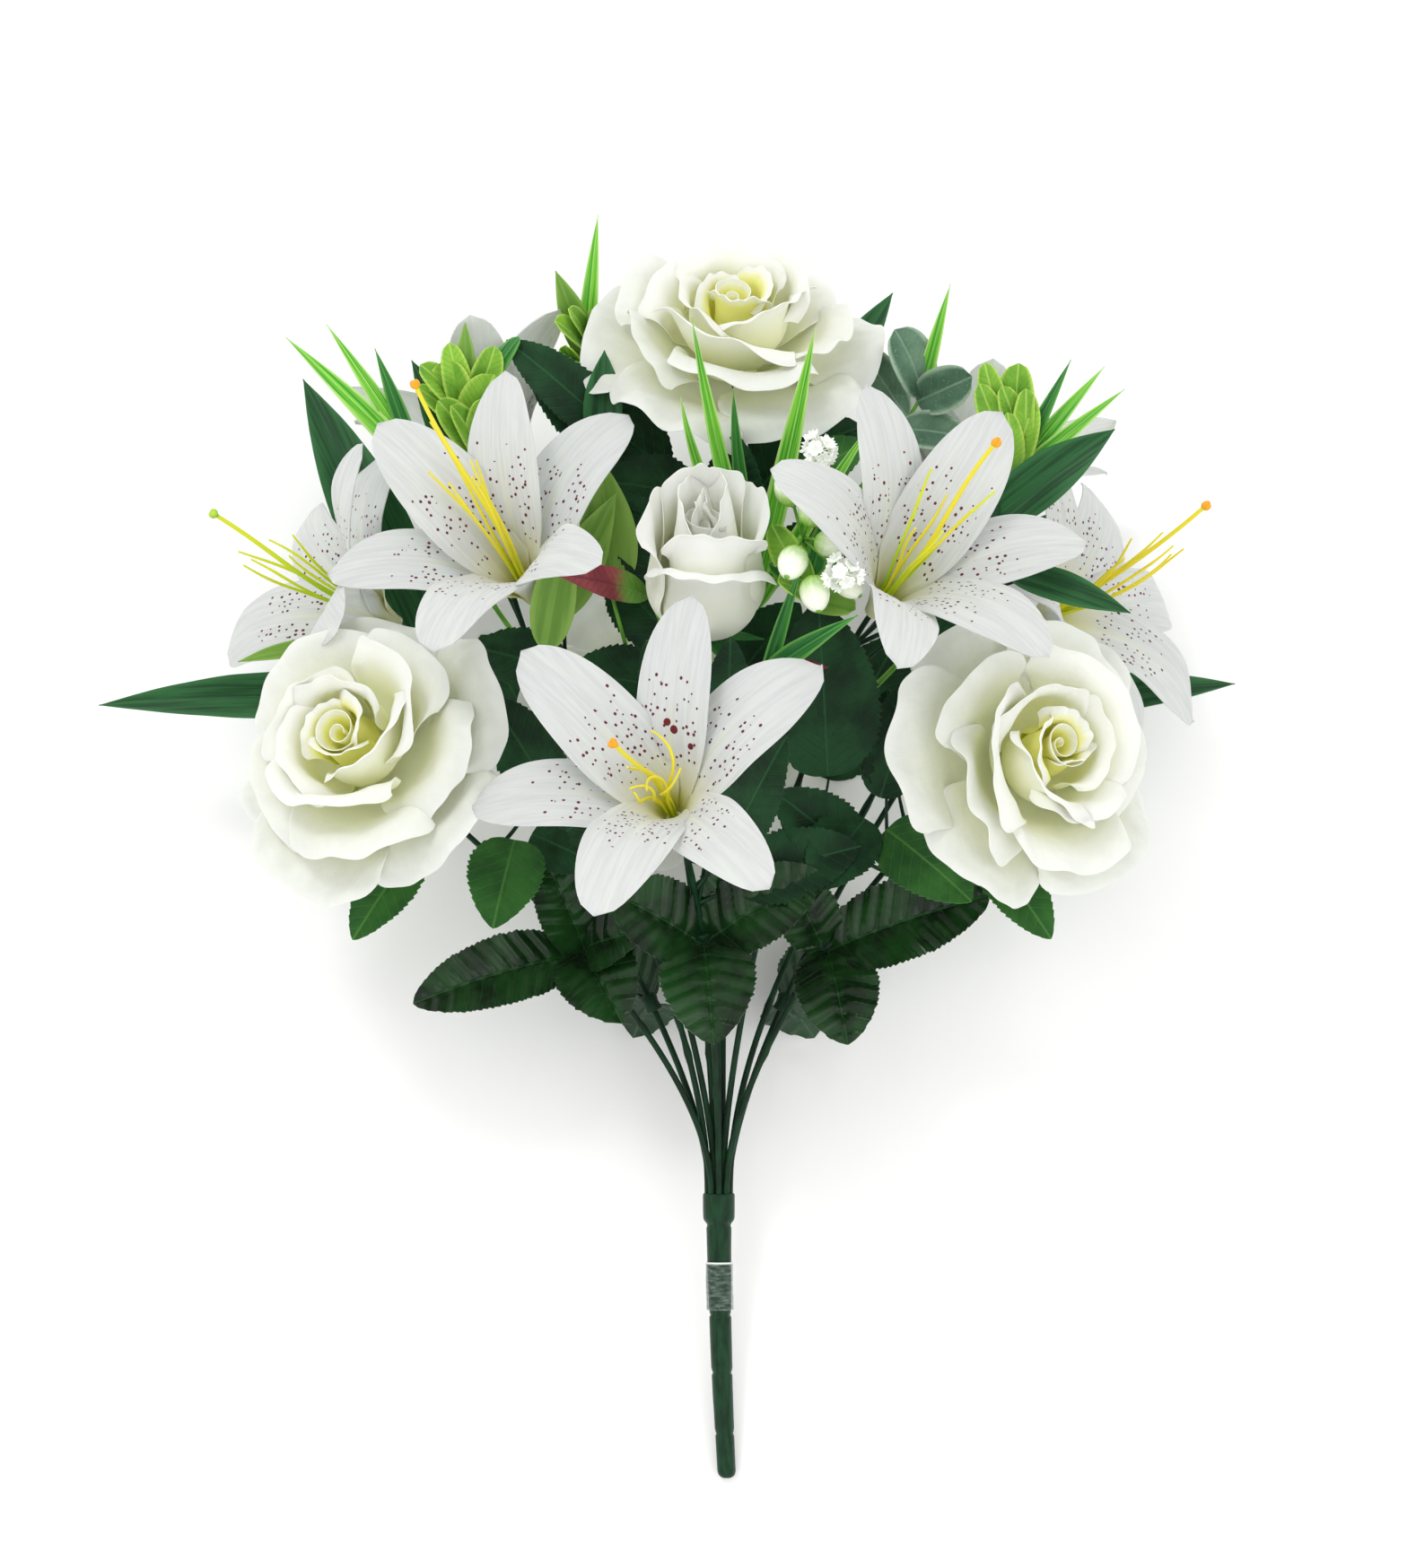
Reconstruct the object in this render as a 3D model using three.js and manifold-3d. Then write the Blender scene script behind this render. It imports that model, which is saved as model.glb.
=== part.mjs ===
// Mixed artificial flower bush, lying on its back: silk roses and lilies with leaves, on moulded stems that
// stand in plain holes in one moulded handle. Millimetres.
//
// The bush is modelled upright in its own frame: x to the right, y up along the stems, z to the front, with
// the origin at the top of the handle. The last lines lean it back by LEAN and put the middle of its lowest
// plane at the origin, +Z up.
import * as THREE from "three";
import { mergeVertices } from "three/addons/utils/BufferGeometryUtils.js";
import Module from "manifold-3d";

const wasm = await Module();
wasm.setup();

// ---------- driving dimensions ----------

const LEAN = THREE.MathUtils.degToRad(13); // the handle's end rests on the surface, the heads lift its top
const REST_DEPTH = 27.113; // distance from the origin down to the surface it lies on
const CLEARANCE = 0.35; // gap between a stem and what is threaded on it, and between a stem and its bloom

const HANDLE_LENGTH = 108;
const HANDLE_TOP_RADIUS = 5.9;
const HANDLE_BEND = 3; // how far the lower end stands to the side
const HANDLE_SIDES = 12;
const TAPE_TOP = -26;
const TAPE_BOTTOM = -44.5;
const TAPE_THICKNESS = 0.6;
const TAPE_INSIDE_RADIUS = 4.8;

const HOLE_DEPTH = 8;
const HOLE_RADIUS = 1.35;
const HOLE_SIDES = 5;
const OUTER_RING = 4.2; // radius of the ring of nine outer holes
const INNER_RING = 1.65; // radius of the ring of three inner holes
const FOOT_RADIUS = 1; // the end of a stem that stands in its hole
const FOOT_DEPTH = 7.4;
const STEM_RADIUS = 1.2;
const STEM_SIDES = 5;
const STEM_STEPS = 6;
const STEM_HOLLOW_RADIUS = STEM_RADIUS + 0.45; // of what is threaded on a stem

const PETAL_THICKNESS = 0.8;
const FLOOR_LIFT = 1.2; // a flower cup's floor is this thick at its edge
const FLOOR_CROWN = 0.4; // and this much thicker in its middle
const LEAF_THICKNESS = 0.8;
const PETIOLE_RADIUS = 0.9;
const PETIOLE_SAG = 3; // how far a petiole bends back on its way to its leaf
const PETIOLE_OVERLAP = 2; // how far it runs into the leaf
const TWIG_RADIUS = 1.3;
const TWIG_SIDES = 3;
const FRONT_SHARE = 0.8; // how far round to the front of its sleeve a blade's root stands
const SLEEVE_SIDES = 6;
const SLEEVE_GRIP = 0.6; // how deep a blade's or twig's root stands in its sleeve's wall

const LILY_BASE_RADIUS = 3;
const LILY_THROAT = 22; // height of the throat over the lily's base
const LILY_THROAT_RADIUS = 4;
const LILY_REACH = 68; // from the throat to a petal's tip
const LILY_BULGE = 42; // length of the handle that bends a petal's middle line
const LILY_BULGE_ANGLE = 30; // how much nearer to the axis that handle stands, in degrees
const LILY_INNER_WIDTH = 35;
const LILY_OUTER_WIDTH = 28;
const FILAMENTS = 3;
const FILAMENT_RADIUS = 0.8;
const KNOB_RADIUS = 1.9; // the pistil's end

// ---------- colours ----------

function finish(colour, roughness) {
  return new THREE.MeshStandardMaterial({ color: colour, roughness, metalness: 0, flatShading: true });
}

const HANDLE_GREEN = 0x1f4a30;
const LEAF_GREEN = 0x234a2a;
const GLOSS_GREEN = 0x14281a;
const LIGHT_GREEN = 0x79b03c;
const GREY_GREEN = 0x4a7358;
const PETAL_WHITE = 0xf4f5f0;
const ROSE_CREAM = 0xf0f3d6;
const STAMEN_YELLOW = 0xe8c81e;
const BERRY_PALE = 0xcfe0a6;
const BURGUNDY = 0x7d3038;
const TAPE_CLEAR = 0xb9c6bd;

// ---------- small helpers ----------

const degrees = THREE.MathUtils.degToRad;

function point(list) {
  return new THREE.Vector3(list[0], list[1], list[2]);
}

function mix(a, b, share) {
  return a + (b - a) * share;
}

function solidFrom(geometry) {
  const bare = geometry.index ? geometry.toNonIndexed() : geometry;
  bare.deleteAttribute("normal");
  bare.deleteAttribute("uv");
  const merged = mergeVertices(bare, 1e-4);
  return new wasm.Manifold(
    new wasm.Mesh({
      numProp: 3,
      vertProperties: merged.attributes.position.array,
      triVerts: new Uint32Array(merged.index.array),
    }),
  );
}

function join(solids) {
  return solids.reduce((sum, next) => sum.add(next));
}

// A coarse oval ball that stands upright.
function ball(place, radius, halfHeight) {
  const geometry = new THREE.IcosahedronGeometry(1, 0);
  geometry.scale(radius, halfHeight, radius);
  geometry.translate(place.x, place.y, place.z);
  return solidFrom(geometry);
}

const bush = new THREE.Group();

function addNode(name, solid, material) {
  const mesh = solid.getMesh();
  const places = new Float32Array(mesh.numVert * 3);
  for (let i = 0; i < mesh.numVert; i++) {
    places.set(mesh.vertProperties.subarray(i * mesh.numProp, i * mesh.numProp + 3), i * 3);
  }
  const geometry = new THREE.BufferGeometry();
  geometry.setAttribute("position", new THREE.BufferAttribute(places, 3));
  geometry.setIndex(new THREE.BufferAttribute(mesh.triVerts, 1));
  geometry.computeVertexNormals();
  const node = new THREE.Mesh(geometry, material);
  node.name = name;
  bush.add(node);
}

// ---------- tubes: stems, petioles, filaments ----------

// A closed tube along a curve, with a regular polygon as its section.
function tube(path, radius, sides, steps) {
  const corners = Array.from({ length: sides }, (_, k) => {
    const turn = (2 * Math.PI * k) / sides;
    return new THREE.Vector2(radius * Math.cos(turn), radius * Math.sin(turn));
  });
  return solidFrom(new THREE.ExtrudeGeometry(new THREE.Shape(corners), { steps, extrudePath: path }));
}

function straightTube(from, to, radius, sides) {
  return tube(new THREE.LineCurve3(from, to), radius, sides, 1);
}

// ---------- sheets: petals and leaves ----------

function closed(places, faces) {
  const geometry = new THREE.BufferGeometry();
  geometry.setAttribute("position", new THREE.Float32BufferAttribute(places, 3));
  geometry.setIndex(faces);
  return solidFrom(geometry);
}

// A closed sheet over surface(s, t), s from -1 to 1 across and t from 0 to 1 along. Both faces stand half
// the thickness off the surface and are split alike. A pointed sheet closes to its tip in the last row.
function sheet(surface, rows, columns, thickness, pointed) {
  const places = [];
  const faces = [];
  const small = 0.004;
  const put = (s, t) => {
    const tn = pointed ? Math.min(t, 0.96) : t;
    const across = surface(s + small, tn).sub(surface(s - small, tn));
    const along = surface(s, Math.min(t + small, 1)).sub(surface(s, Math.max(t - small, 0)));
    const normal = across.cross(along).normalize().multiplyScalar(thickness / 2);
    const here = surface(s, t);
    const upper = here.clone().add(normal);
    const lower = here.clone().sub(normal);
    places.push(upper.x, upper.y, upper.z, lower.x, lower.y, lower.z);
    return places.length / 6 - 1;
  };
  const grid = [];
  for (let i = 0; i <= rows; i++) {
    const t = i / rows;
    if (pointed && i === rows) {
      const tip = put(0, 1);
      grid.push(new Array(columns + 1).fill(tip));
    } else {
      grid.push(Array.from({ length: columns + 1 }, (_, j) => put((2 * j) / columns - 1, t)));
    }
  }
  const face = (a, b, c) => {
    if (a === b || b === c || a === c) return;
    faces.push(2 * a, 2 * b, 2 * c, 2 * a + 1, 2 * c + 1, 2 * b + 1);
  };
  const wall = (a, b) => {
    if (a === b) return;
    faces.push(2 * a + 1, 2 * b + 1, 2 * b, 2 * a + 1, 2 * b, 2 * a);
  };
  for (let i = 0; i < rows; i++) {
    for (let j = 0; j < columns; j++) {
      const a = grid[i][j];
      const b = grid[i][j + 1];
      const c = grid[i + 1][j + 1];
      const d = grid[i + 1][j];
      if (j < columns / 2) {
        face(a, b, c);
        face(a, c, d);
      } else {
        face(a, b, d);
        face(b, c, d);
      }
    }
    wall(grid[i + 1][0], grid[i][0]);
    wall(grid[i][columns], grid[i + 1][columns]);
  }
  for (let j = 0; j < columns; j++) {
    wall(grid[0][j], grid[0][j + 1]);
    wall(grid[rows][j + 1], grid[rows][j]);
  }
  return closed(places, faces);
}

// Half-width of a blade, 1 at its widest place and 0 at both ends.
function outline(t, peak, fullness) {
  const low = Math.pow(t / peak, peak * fullness);
  const high = Math.pow((1 - t) / (1 - peak), (1 - peak) * fullness);
  return low * high;
}

// Leaf kinds: rows, widest place, fullness (high is slender), depth of teeth, fold and arch.
const LEAF_KINDS = {
  rose: { rows: 4, peak: 0.42, fullness: 1.25, teeth: 0.14, fold: 0.22, arch: 0.07 },
  lily: { rows: 4, peak: 0.42, fullness: 1.8, teeth: 0, fold: 0.25, arch: 0.06 },
  grass: { rows: 3, peak: 0.3, fullness: 1.5, teeth: 0, fold: 0, arch: 0.05 },
  round: { rows: 3, peak: 0.5, fullness: 1.1, teeth: 0, fold: 0.15, arch: 0.06 },
  collar: { rows: 4, peak: 0.5, fullness: 1.25, teeth: 0.12, fold: 0.3, arch: 0.12 },
  flat: { rows: 5, peak: 0.42, fullness: 1.25, teeth: 0.14, fold: 0, arch: 0 },
  sepal: { rows: 2, peak: 0.35, fullness: 1.6, teeth: 0, fold: 0, arch: 0.02 },
};
const BLADE_ROOT = 0.5; // half-width that every blade keeps at its root

function blade(kindName, base, tip, width, facing, arch) {
  const kind = LEAF_KINDS[kindName];
  const bow = arch === undefined ? kind.arch : arch;
  const along = tip.clone().sub(base);
  const length = along.length();
  const ahead = along.clone().normalize();
  const up = facing.clone().addScaledVector(ahead, -facing.dot(ahead)).normalize();
  const side = new THREE.Vector3().crossVectors(ahead, up);
  const surface = (s, t) => {
    const tooth = 1 - kind.teeth * (0.5 + 0.5 * Math.cos(Math.PI * t * kind.rows));
    const half = (width / 2) * outline(t, kind.peak, kind.fullness) * tooth + BLADE_ROOT * (1 - t);
    const lift = bow * length * 4 * t * (1 - t) + kind.fold * Math.abs(s) * half;
    return base
      .clone()
      .addScaledVector(along, t)
      .addScaledVector(side, s * half)
      .addScaledVector(up, lift);
  };
  const columns = kind.fold > 0 || kindName === "flat" ? 2 : 1;
  return sheet(surface, kind.rows, columns, LEAF_THICKNESS, true);
}

// ---------- the frame of a flower head ----------

// Axes of a head: z out of its face, y the nearest to upright, x to the right.
function headFrame(base, facing) {
  const z = point(facing).normalize();
  const y = new THREE.Vector3(0, 1, 0).addScaledVector(z, -z.y).normalize();
  const x = new THREE.Vector3().crossVectors(y, z);
  const origin = point(base);
  return {
    origin,
    z,
    // The place at radius r and turn (radians) from x round the axis, at the given height.
    at: (r, turn, height) =>
      origin
        .clone()
        .addScaledVector(x, r * Math.cos(turn))
        .addScaledVector(y, r * Math.sin(turn))
        .addScaledVector(z, height),
  };
}

function bezier(values, t) {
  const u = 1 - t;
  return (
    u * u * u * values[0] + 3 * u * u * t * values[1] + 3 * u * t * t * values[2] + t * t * t * values[3]
  );
}

// A solid turned about the head's axis from a profile of [radius, height] that starts and ends on the axis.
function turned(frame, profile, sides) {
  const lathe = new THREE.LatheGeometry(
    profile.map(([r, h]) => new THREE.Vector2(r, h)),
    sides,
  );
  const places = lathe.attributes.position;
  for (let i = 0; i < places.count; i++) {
    const r = Math.hypot(places.getX(i), places.getZ(i));
    const turn = Math.atan2(-places.getZ(i), places.getX(i));
    const there = frame.at(r, r < 1e-9 ? 0 : turn, places.getY(i));
    places.setXYZ(i, there.x, there.y, there.z);
  }
  return solidFrom(lathe);
}

// A cup of petals as one closed sheet: the lobes, surfaces in turn round the axis, share their edges up to
// the place `fused` along them and part above it. The cup's floor stands at the height `foot`.
function lobedCup(frame, lobes, { rows, columns, fused, pointed, foot }) {
  const last = rows.length - 1;
  const places = [];
  const keep = (here, normal, lift) => {
    const upper = here.clone().addScaledVector(normal, PETAL_THICKNESS / 2).addScaledVector(frame.z, lift);
    const lower = here.clone().addScaledVector(normal, -PETAL_THICKNESS / 2);
    places.push(upper.x, upper.y, upper.z, lower.x, lower.y, lower.z);
    return places.length / 6 - 1;
  };
  const sample = (lobe, s, t) => {
    const small = 0.01;
    const tn = Math.min(t, 0.95);
    const across = lobe(s + small, tn).sub(lobe(s - small, tn));
    const along = lobe(s, Math.min(t + small, 1)).sub(lobe(s, Math.max(t - small, 0)));
    return { here: lobe(s, t), normal: along.cross(across).normalize() };
  };
  const grid = lobes.map((lobe, p) =>
    rows.map((t, i) => {
      if (pointed && i === last) {
        const tip = sample(lobe, 0, t);
        return new Array(columns + 1).fill(keep(tip.here, tip.normal, 0));
      }
      const lift = i === 0 ? FLOOR_LIFT : 0;
      return Array.from({ length: columns + 1 }, (_, j) => {
        const own = sample(lobe, (2 * j) / columns - 1, t);
        if (t > fused || (j > 0 && j < columns)) return keep(own.here, own.normal, lift);
        if (j === 0) return -1;
        const next = sample(lobes[(p + 1) % lobes.length], -1, t);
        return keep(own.here.lerp(next.here, 0.5), own.normal.add(next.normal).normalize(), lift);
      });
    }),
  );
  const fusedRows = rows.filter((t) => t <= fused).length;
  grid.forEach((lobe, p) => {
    for (let i = 0; i < fusedRows; i++) grid[(p + 1) % lobes.length][i][0] = lobe[i][columns];
  });
  const faces = [];
  const face = (a, b, c) => {
    if (a === b || b === c || a === c) return;
    faces.push(2 * a + 1, 2 * b + 1, 2 * c + 1, 2 * a, 2 * c, 2 * b);
  };
  const wall = (a, b) => faces.push(2 * a, 2 * b, 2 * b + 1, 2 * a, 2 * b + 1, 2 * a + 1);
  const floor = places.length / 3;
  const inside = frame.at(0, 0, foot + FLOOR_LIFT + FLOOR_CROWN);
  const outside = frame.at(0, 0, foot);
  places.push(inside.x, inside.y, inside.z, outside.x, outside.y, outside.z);
  for (const lobe of grid) {
    for (let j = 0; j < columns; j++) {
      faces.push(floor, 2 * lobe[0][j], 2 * lobe[0][j + 1]);
      faces.push(floor + 1, 2 * lobe[0][j + 1] + 1, 2 * lobe[0][j] + 1);
      for (let i = 0; i < last; i++) {
        const a = lobe[i][j];
        const b = lobe[i][j + 1];
        const c = lobe[i + 1][j + 1];
        const d = lobe[i + 1][j];
        if (j < columns / 2) {
          face(a, b, c);
          face(a, c, d);
        } else {
          face(a, b, d);
          face(b, c, d);
        }
      }
      if (!pointed) wall(lobe[last][j + 1], lobe[last][j]);
    }
    for (let i = fusedRows - 1; i < last; i++) {
      wall(lobe[i + 1][0], lobe[i][0]);
      wall(lobe[i][columns], lobe[i + 1][columns]);
    }
  }
  return closed(places, faces);
}

// ---------- roses ----------

// Layers of petals from the outside in: line is four [radius, height] control points from root to rim,
// spread is half a petal's width in degrees. Each layer is a cup that parts into its petals.
const ROSE_LAYERS = [
  { count: 5, start: 10, spread: 34.5, rows: 3, columns: 3, line: [[4, 0], [32, -5], [52, 17], [54, 6]] },
  { count: 5, start: 46, spread: 34.5, rows: 2, columns: 2, line: [[4, 3.4], [28, 4], [39, 28], [46, 20]] },
  { count: 4, start: 20, spread: 43, rows: 2, columns: 2, line: [[4, 6.8], [22, 9], [24, 36], [36, 33]] },
  { count: 3, start: 60, spread: 57, rows: 2, columns: 2, line: [[4, 10.2], [15, 12], [13, 36], [24, 39]] },
];
const BUD_LAYERS = [
  { count: 4, start: 30, spread: 43, rows: 4, columns: 2, line: [[4, 0], [30, 6], [15, 42], [25, 56]] },
  { count: 3, start: 0, spread: 57, rows: 3, columns: 3, line: [[4, 4], [22, 10], [11, 44], [19, 57]] },
];
const ROSE = { layers: ROSE_LAYERS, peg: 12, scroll: [3, 12, 11.3, 40] };
const BUD = { layers: BUD_LAYERS, peg: 6, scroll: [3, 9.5, 5, 56] };
const RIM_DROP = 0.13; // how much lower a petal's corners end than its middle
const RUFFLE = 1.3;
const SCROLL_TURNS = 1.4;
const SCROLL_STEPS = 7;
const CALYX_LENGTH = 11;
const PEG_PLACE = 2.2; // the peg that threads a rose's cups stands this far off its axis
const PEG_RADIUS = 1.1;

function rosePetal(frame, layer, index) {
  const middle = degrees(layer.start + (360 / layer.count) * index);
  const rs = layer.line.map((p) => p[0]);
  const hs = layer.line.map((p) => p[1]);
  return (s, t) => {
    const reach = t * (1 - RIM_DROP * s * s);
    const wave = RUFFLE * t * t * Math.sin(5 * s + 2 * index);
    const share = t <= 1 / layer.rows ? 180 / layer.count : layer.spread;
    return frame.at(bezier(rs, reach) + 0.5 * wave, middle + s * degrees(share), bezier(hs, reach) + wave);
  };
}

// The rolled petal in the middle of a rose.
function roseScroll(frame, [innerRadius, outerRadius, low, high]) {
  const surface = (s, t) => {
    const place = (s + 1) / 2;
    const r = mix(innerRadius, outerRadius, place) * mix(0.26, 1, t);
    const turn = place * SCROLL_TURNS * 2 * Math.PI;
    return frame.at(r, turn, mix(low, high - 2 * place, t));
  };
  return sheet(surface, 1, SCROLL_STEPS, PETAL_THICKNESS, false);
}

function roseBloom(frame, rose) {
  const peg = straightTube(frame.at(PEG_PLACE, 0, 0.8), frame.at(PEG_PLACE, 0, rose.peg), PEG_RADIUS, 3);
  const parts = [peg, roseScroll(frame, rose.scroll)];
  for (const layer of rose.layers) {
    const lobes = Array.from({ length: layer.count }, (_, i) => rosePetal(frame, layer, i));
    const rows = Array.from({ length: layer.rows + 1 }, (_, i) => i / layer.rows);
    parts.push(
      lobedCup(frame, lobes, {
        rows,
        columns: layer.columns,
        fused: 1 / layer.rows,
        pointed: false,
        foot: layer.line[0][1],
      }),
    );
  }
  return join(parts);
}

// The green calyx below a rose, with its five sepals.
function calyx(frame) {
  const top = -2 * CLEARANCE;
  const cup = [[0, -CALYX_LENGTH], [1.6, -CALYX_LENGTH], [3, 3 - CALYX_LENGTH], [3.6, top], [0, top]];
  const parts = [turned(frame, cup, 6)];
  for (let i = 0; i < 5; i++) {
    const turn = degrees(72 * i + 20);
    const root = frame.at(2.5, turn, -3);
    const tip = frame.at(22, turn, -9);
    parts.push(blade("sepal", root, tip, 7, frame.z));
  }
  return join(parts);
}

// ---------- lilies ----------

// Control points [radius, height] of a petal's middle line, opened by the given angle from the axis.
function lilyProfile(open) {
  const angle = degrees(open);
  const neck = degrees(open - LILY_BULGE_ANGLE);
  const outwards = (length, turn) => LILY_THROAT_RADIUS + length * Math.sin(turn);
  const upwards = (length, turn) => LILY_THROAT + length * Math.cos(turn);
  return {
    r: [LILY_BASE_RADIUS, LILY_THROAT_RADIUS + 1.5, outwards(LILY_BULGE, neck), outwards(LILY_REACH, angle)],
    h: [0, LILY_THROAT, upwards(LILY_BULGE, neck), upwards(LILY_REACH, angle)],
  };
}

const TUBE_END = 0.3; // place along the petals where the tube parts into six
const LILY_ROWS = [0, TUBE_END, 0.52, 0.78, 1];

function lilySurface(frame, turnDegrees, open, inner) {
  const turn = degrees(turnDegrees);
  const profile = lilyProfile(open);
  const width = inner ? LILY_INNER_WIDTH : LILY_OUTER_WIDTH;
  const sideways = frame.at(1, turn + Math.PI / 2, 0).sub(frame.origin);
  return (s, t) => {
    const r = bezier(profile.r, t);
    const h = bezier(profile.h, t);
    if (t <= TUBE_END) return frame.at(r, turn + s * degrees(30), h);
    const half = (width / 2) * outline(t, 0.56, 1.5);
    const cup = 0.16 * mix(1, -0.7, t) * s * s * half;
    return frame.at(r, turn, h + cup).addScaledVector(sideways, s * half);
  };
}

function lilyBloom(frame, petals) {
  const marked = petals.map(([turn, open], i) => [(turn + 360) % 360, open, i % 2 === 1]);
  const round = marked.sort((a, b) => a[0] - b[0]);
  const lobes = round.map(([turn, open, inner]) => lilySurface(frame, turn, open, inner));
  return lobedCup(frame, lobes, { rows: LILY_ROWS, columns: 2, fused: TUBE_END, pointed: true, foot: 0 });
}

function knob(place) {
  const geometry = new THREE.OctahedronGeometry(KNOB_RADIUS, 0);
  geometry.translate(place.x, place.y, place.z);
  return solidFrom(geometry);
}

// The filaments and the longer pistil, which leans to the given place, on one small seat.
function lilyStamens(frame, pistil) {
  const foot = FLOOR_LIFT + FLOOR_CROWN + CLEARANCE;
  const seat = [[0, foot], [1.9, foot], [1.9, foot + 2.6], [0, foot + 2.6]];
  const tip = point(pistil);
  const middle = frame.at(0, 0, LILY_THROAT + 12);
  const lean = tip.clone().sub(middle);
  const start = frame.at(0, 0, foot + 1.4);
  const style = new THREE.CubicBezierCurve3(start, frame.at(0, 0, foot + 14), middle, tip);
  const parts = [turned(frame, seat, 4), tube(style, FILAMENT_RADIUS, 3, 3), knob(tip)];
  for (let i = 0; i < FILAMENTS; i++) {
    const turn = degrees((360 / FILAMENTS) * i + 40);
    const aside = frame.at(11, turn, 4).sub(frame.origin);
    const end = middle.clone().addScaledVector(lean, 0.5).add(aside);
    const root = frame.at(1.1, turn, foot + 1.4);
    const knee = frame.at(2.2, turn, LILY_THROAT);
    parts.push(tube(new THREE.CubicBezierCurve3(root, knee, middle, end), FILAMENT_RADIUS, 3, 2));
  }
  return join(parts);
}

// ---------- the handle ----------

// The handle's lower end stands a little to the side.
function bendHandle(geometry) {
  const places = geometry.attributes.position;
  for (let i = 0; i < places.count; i++) {
    const share = Math.min(0, places.getY(i)) / HANDLE_LENGTH;
    places.setX(i, places.getX(i) + HANDLE_BEND * share * share);
  }
  return geometry;
}

const HANDLE_PROFILE = [
  [0, -HANDLE_LENGTH], [2.3, -107.6], [3.4, -105.8],
  [3.5, -92], [3.1, -91], [3.6, -90],
  [3.8, -69], [3.35, -68], [3.9, -67],
  [4.05, -47], [3.6, -46], [4.1, -45],
  [4.6, -13.2], [4.3, -12], [5.0, -11.2],
  [HANDLE_TOP_RADIUS, -9.6], [HANDLE_TOP_RADIUS, 0], [0, 0],
];

// Where each stem stands: the ring's radius and the place round it, in degrees, 90 at the front.
function holePlace([ring, angle]) {
  return new THREE.Vector3(ring * Math.cos(degrees(angle)), 0, ring * Math.sin(degrees(angle)));
}

function handle(holes) {
  const lathe = new THREE.LatheGeometry(
    HANDLE_PROFILE.map(([r, h]) => new THREE.Vector2(r, h)),
    HANDLE_SIDES,
  );
  let body = solidFrom(bendHandle(lathe));
  for (const hole of holes) {
    const top = holePlace(hole).setY(1);
    const floor = holePlace(hole).setY(-HOLE_DEPTH);
    body = body.subtract(straightTube(floor, top, HOLE_RADIUS, HOLE_SIDES));
  }
  return body;
}

function tapeBand() {
  const outside = TAPE_INSIDE_RADIUS + TAPE_THICKNESS;
  const ring = [
    [TAPE_INSIDE_RADIUS, TAPE_BOTTOM], [outside, TAPE_BOTTOM],
    [outside, TAPE_TOP], [TAPE_INSIDE_RADIUS, TAPE_TOP], [TAPE_INSIDE_RADIUS, TAPE_BOTTOM],
  ];
  const lathe = new THREE.LatheGeometry(
    ring.map(([r, h]) => new THREE.Vector2(r, h)),
    HANDLE_SIDES,
  );
  return solidFrom(bendHandle(lathe));
}

// ---------- the picks: a stem, its bloom and its leaves ----------

// Upright of the surface, in the bush's own frame.
const SURFACE_UP = new THREE.Vector3(0, Math.sin(LEAN), Math.cos(LEAN));

// Where a leaf's middle plane is when the leaf lies on the surface.
function onSurface(x, y) {
  const height = LEAF_THICKNESS / 2 - REST_DEPTH;
  return [x, y, (height - y * Math.sin(LEAN)) / Math.cos(LEAN)];
}

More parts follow.
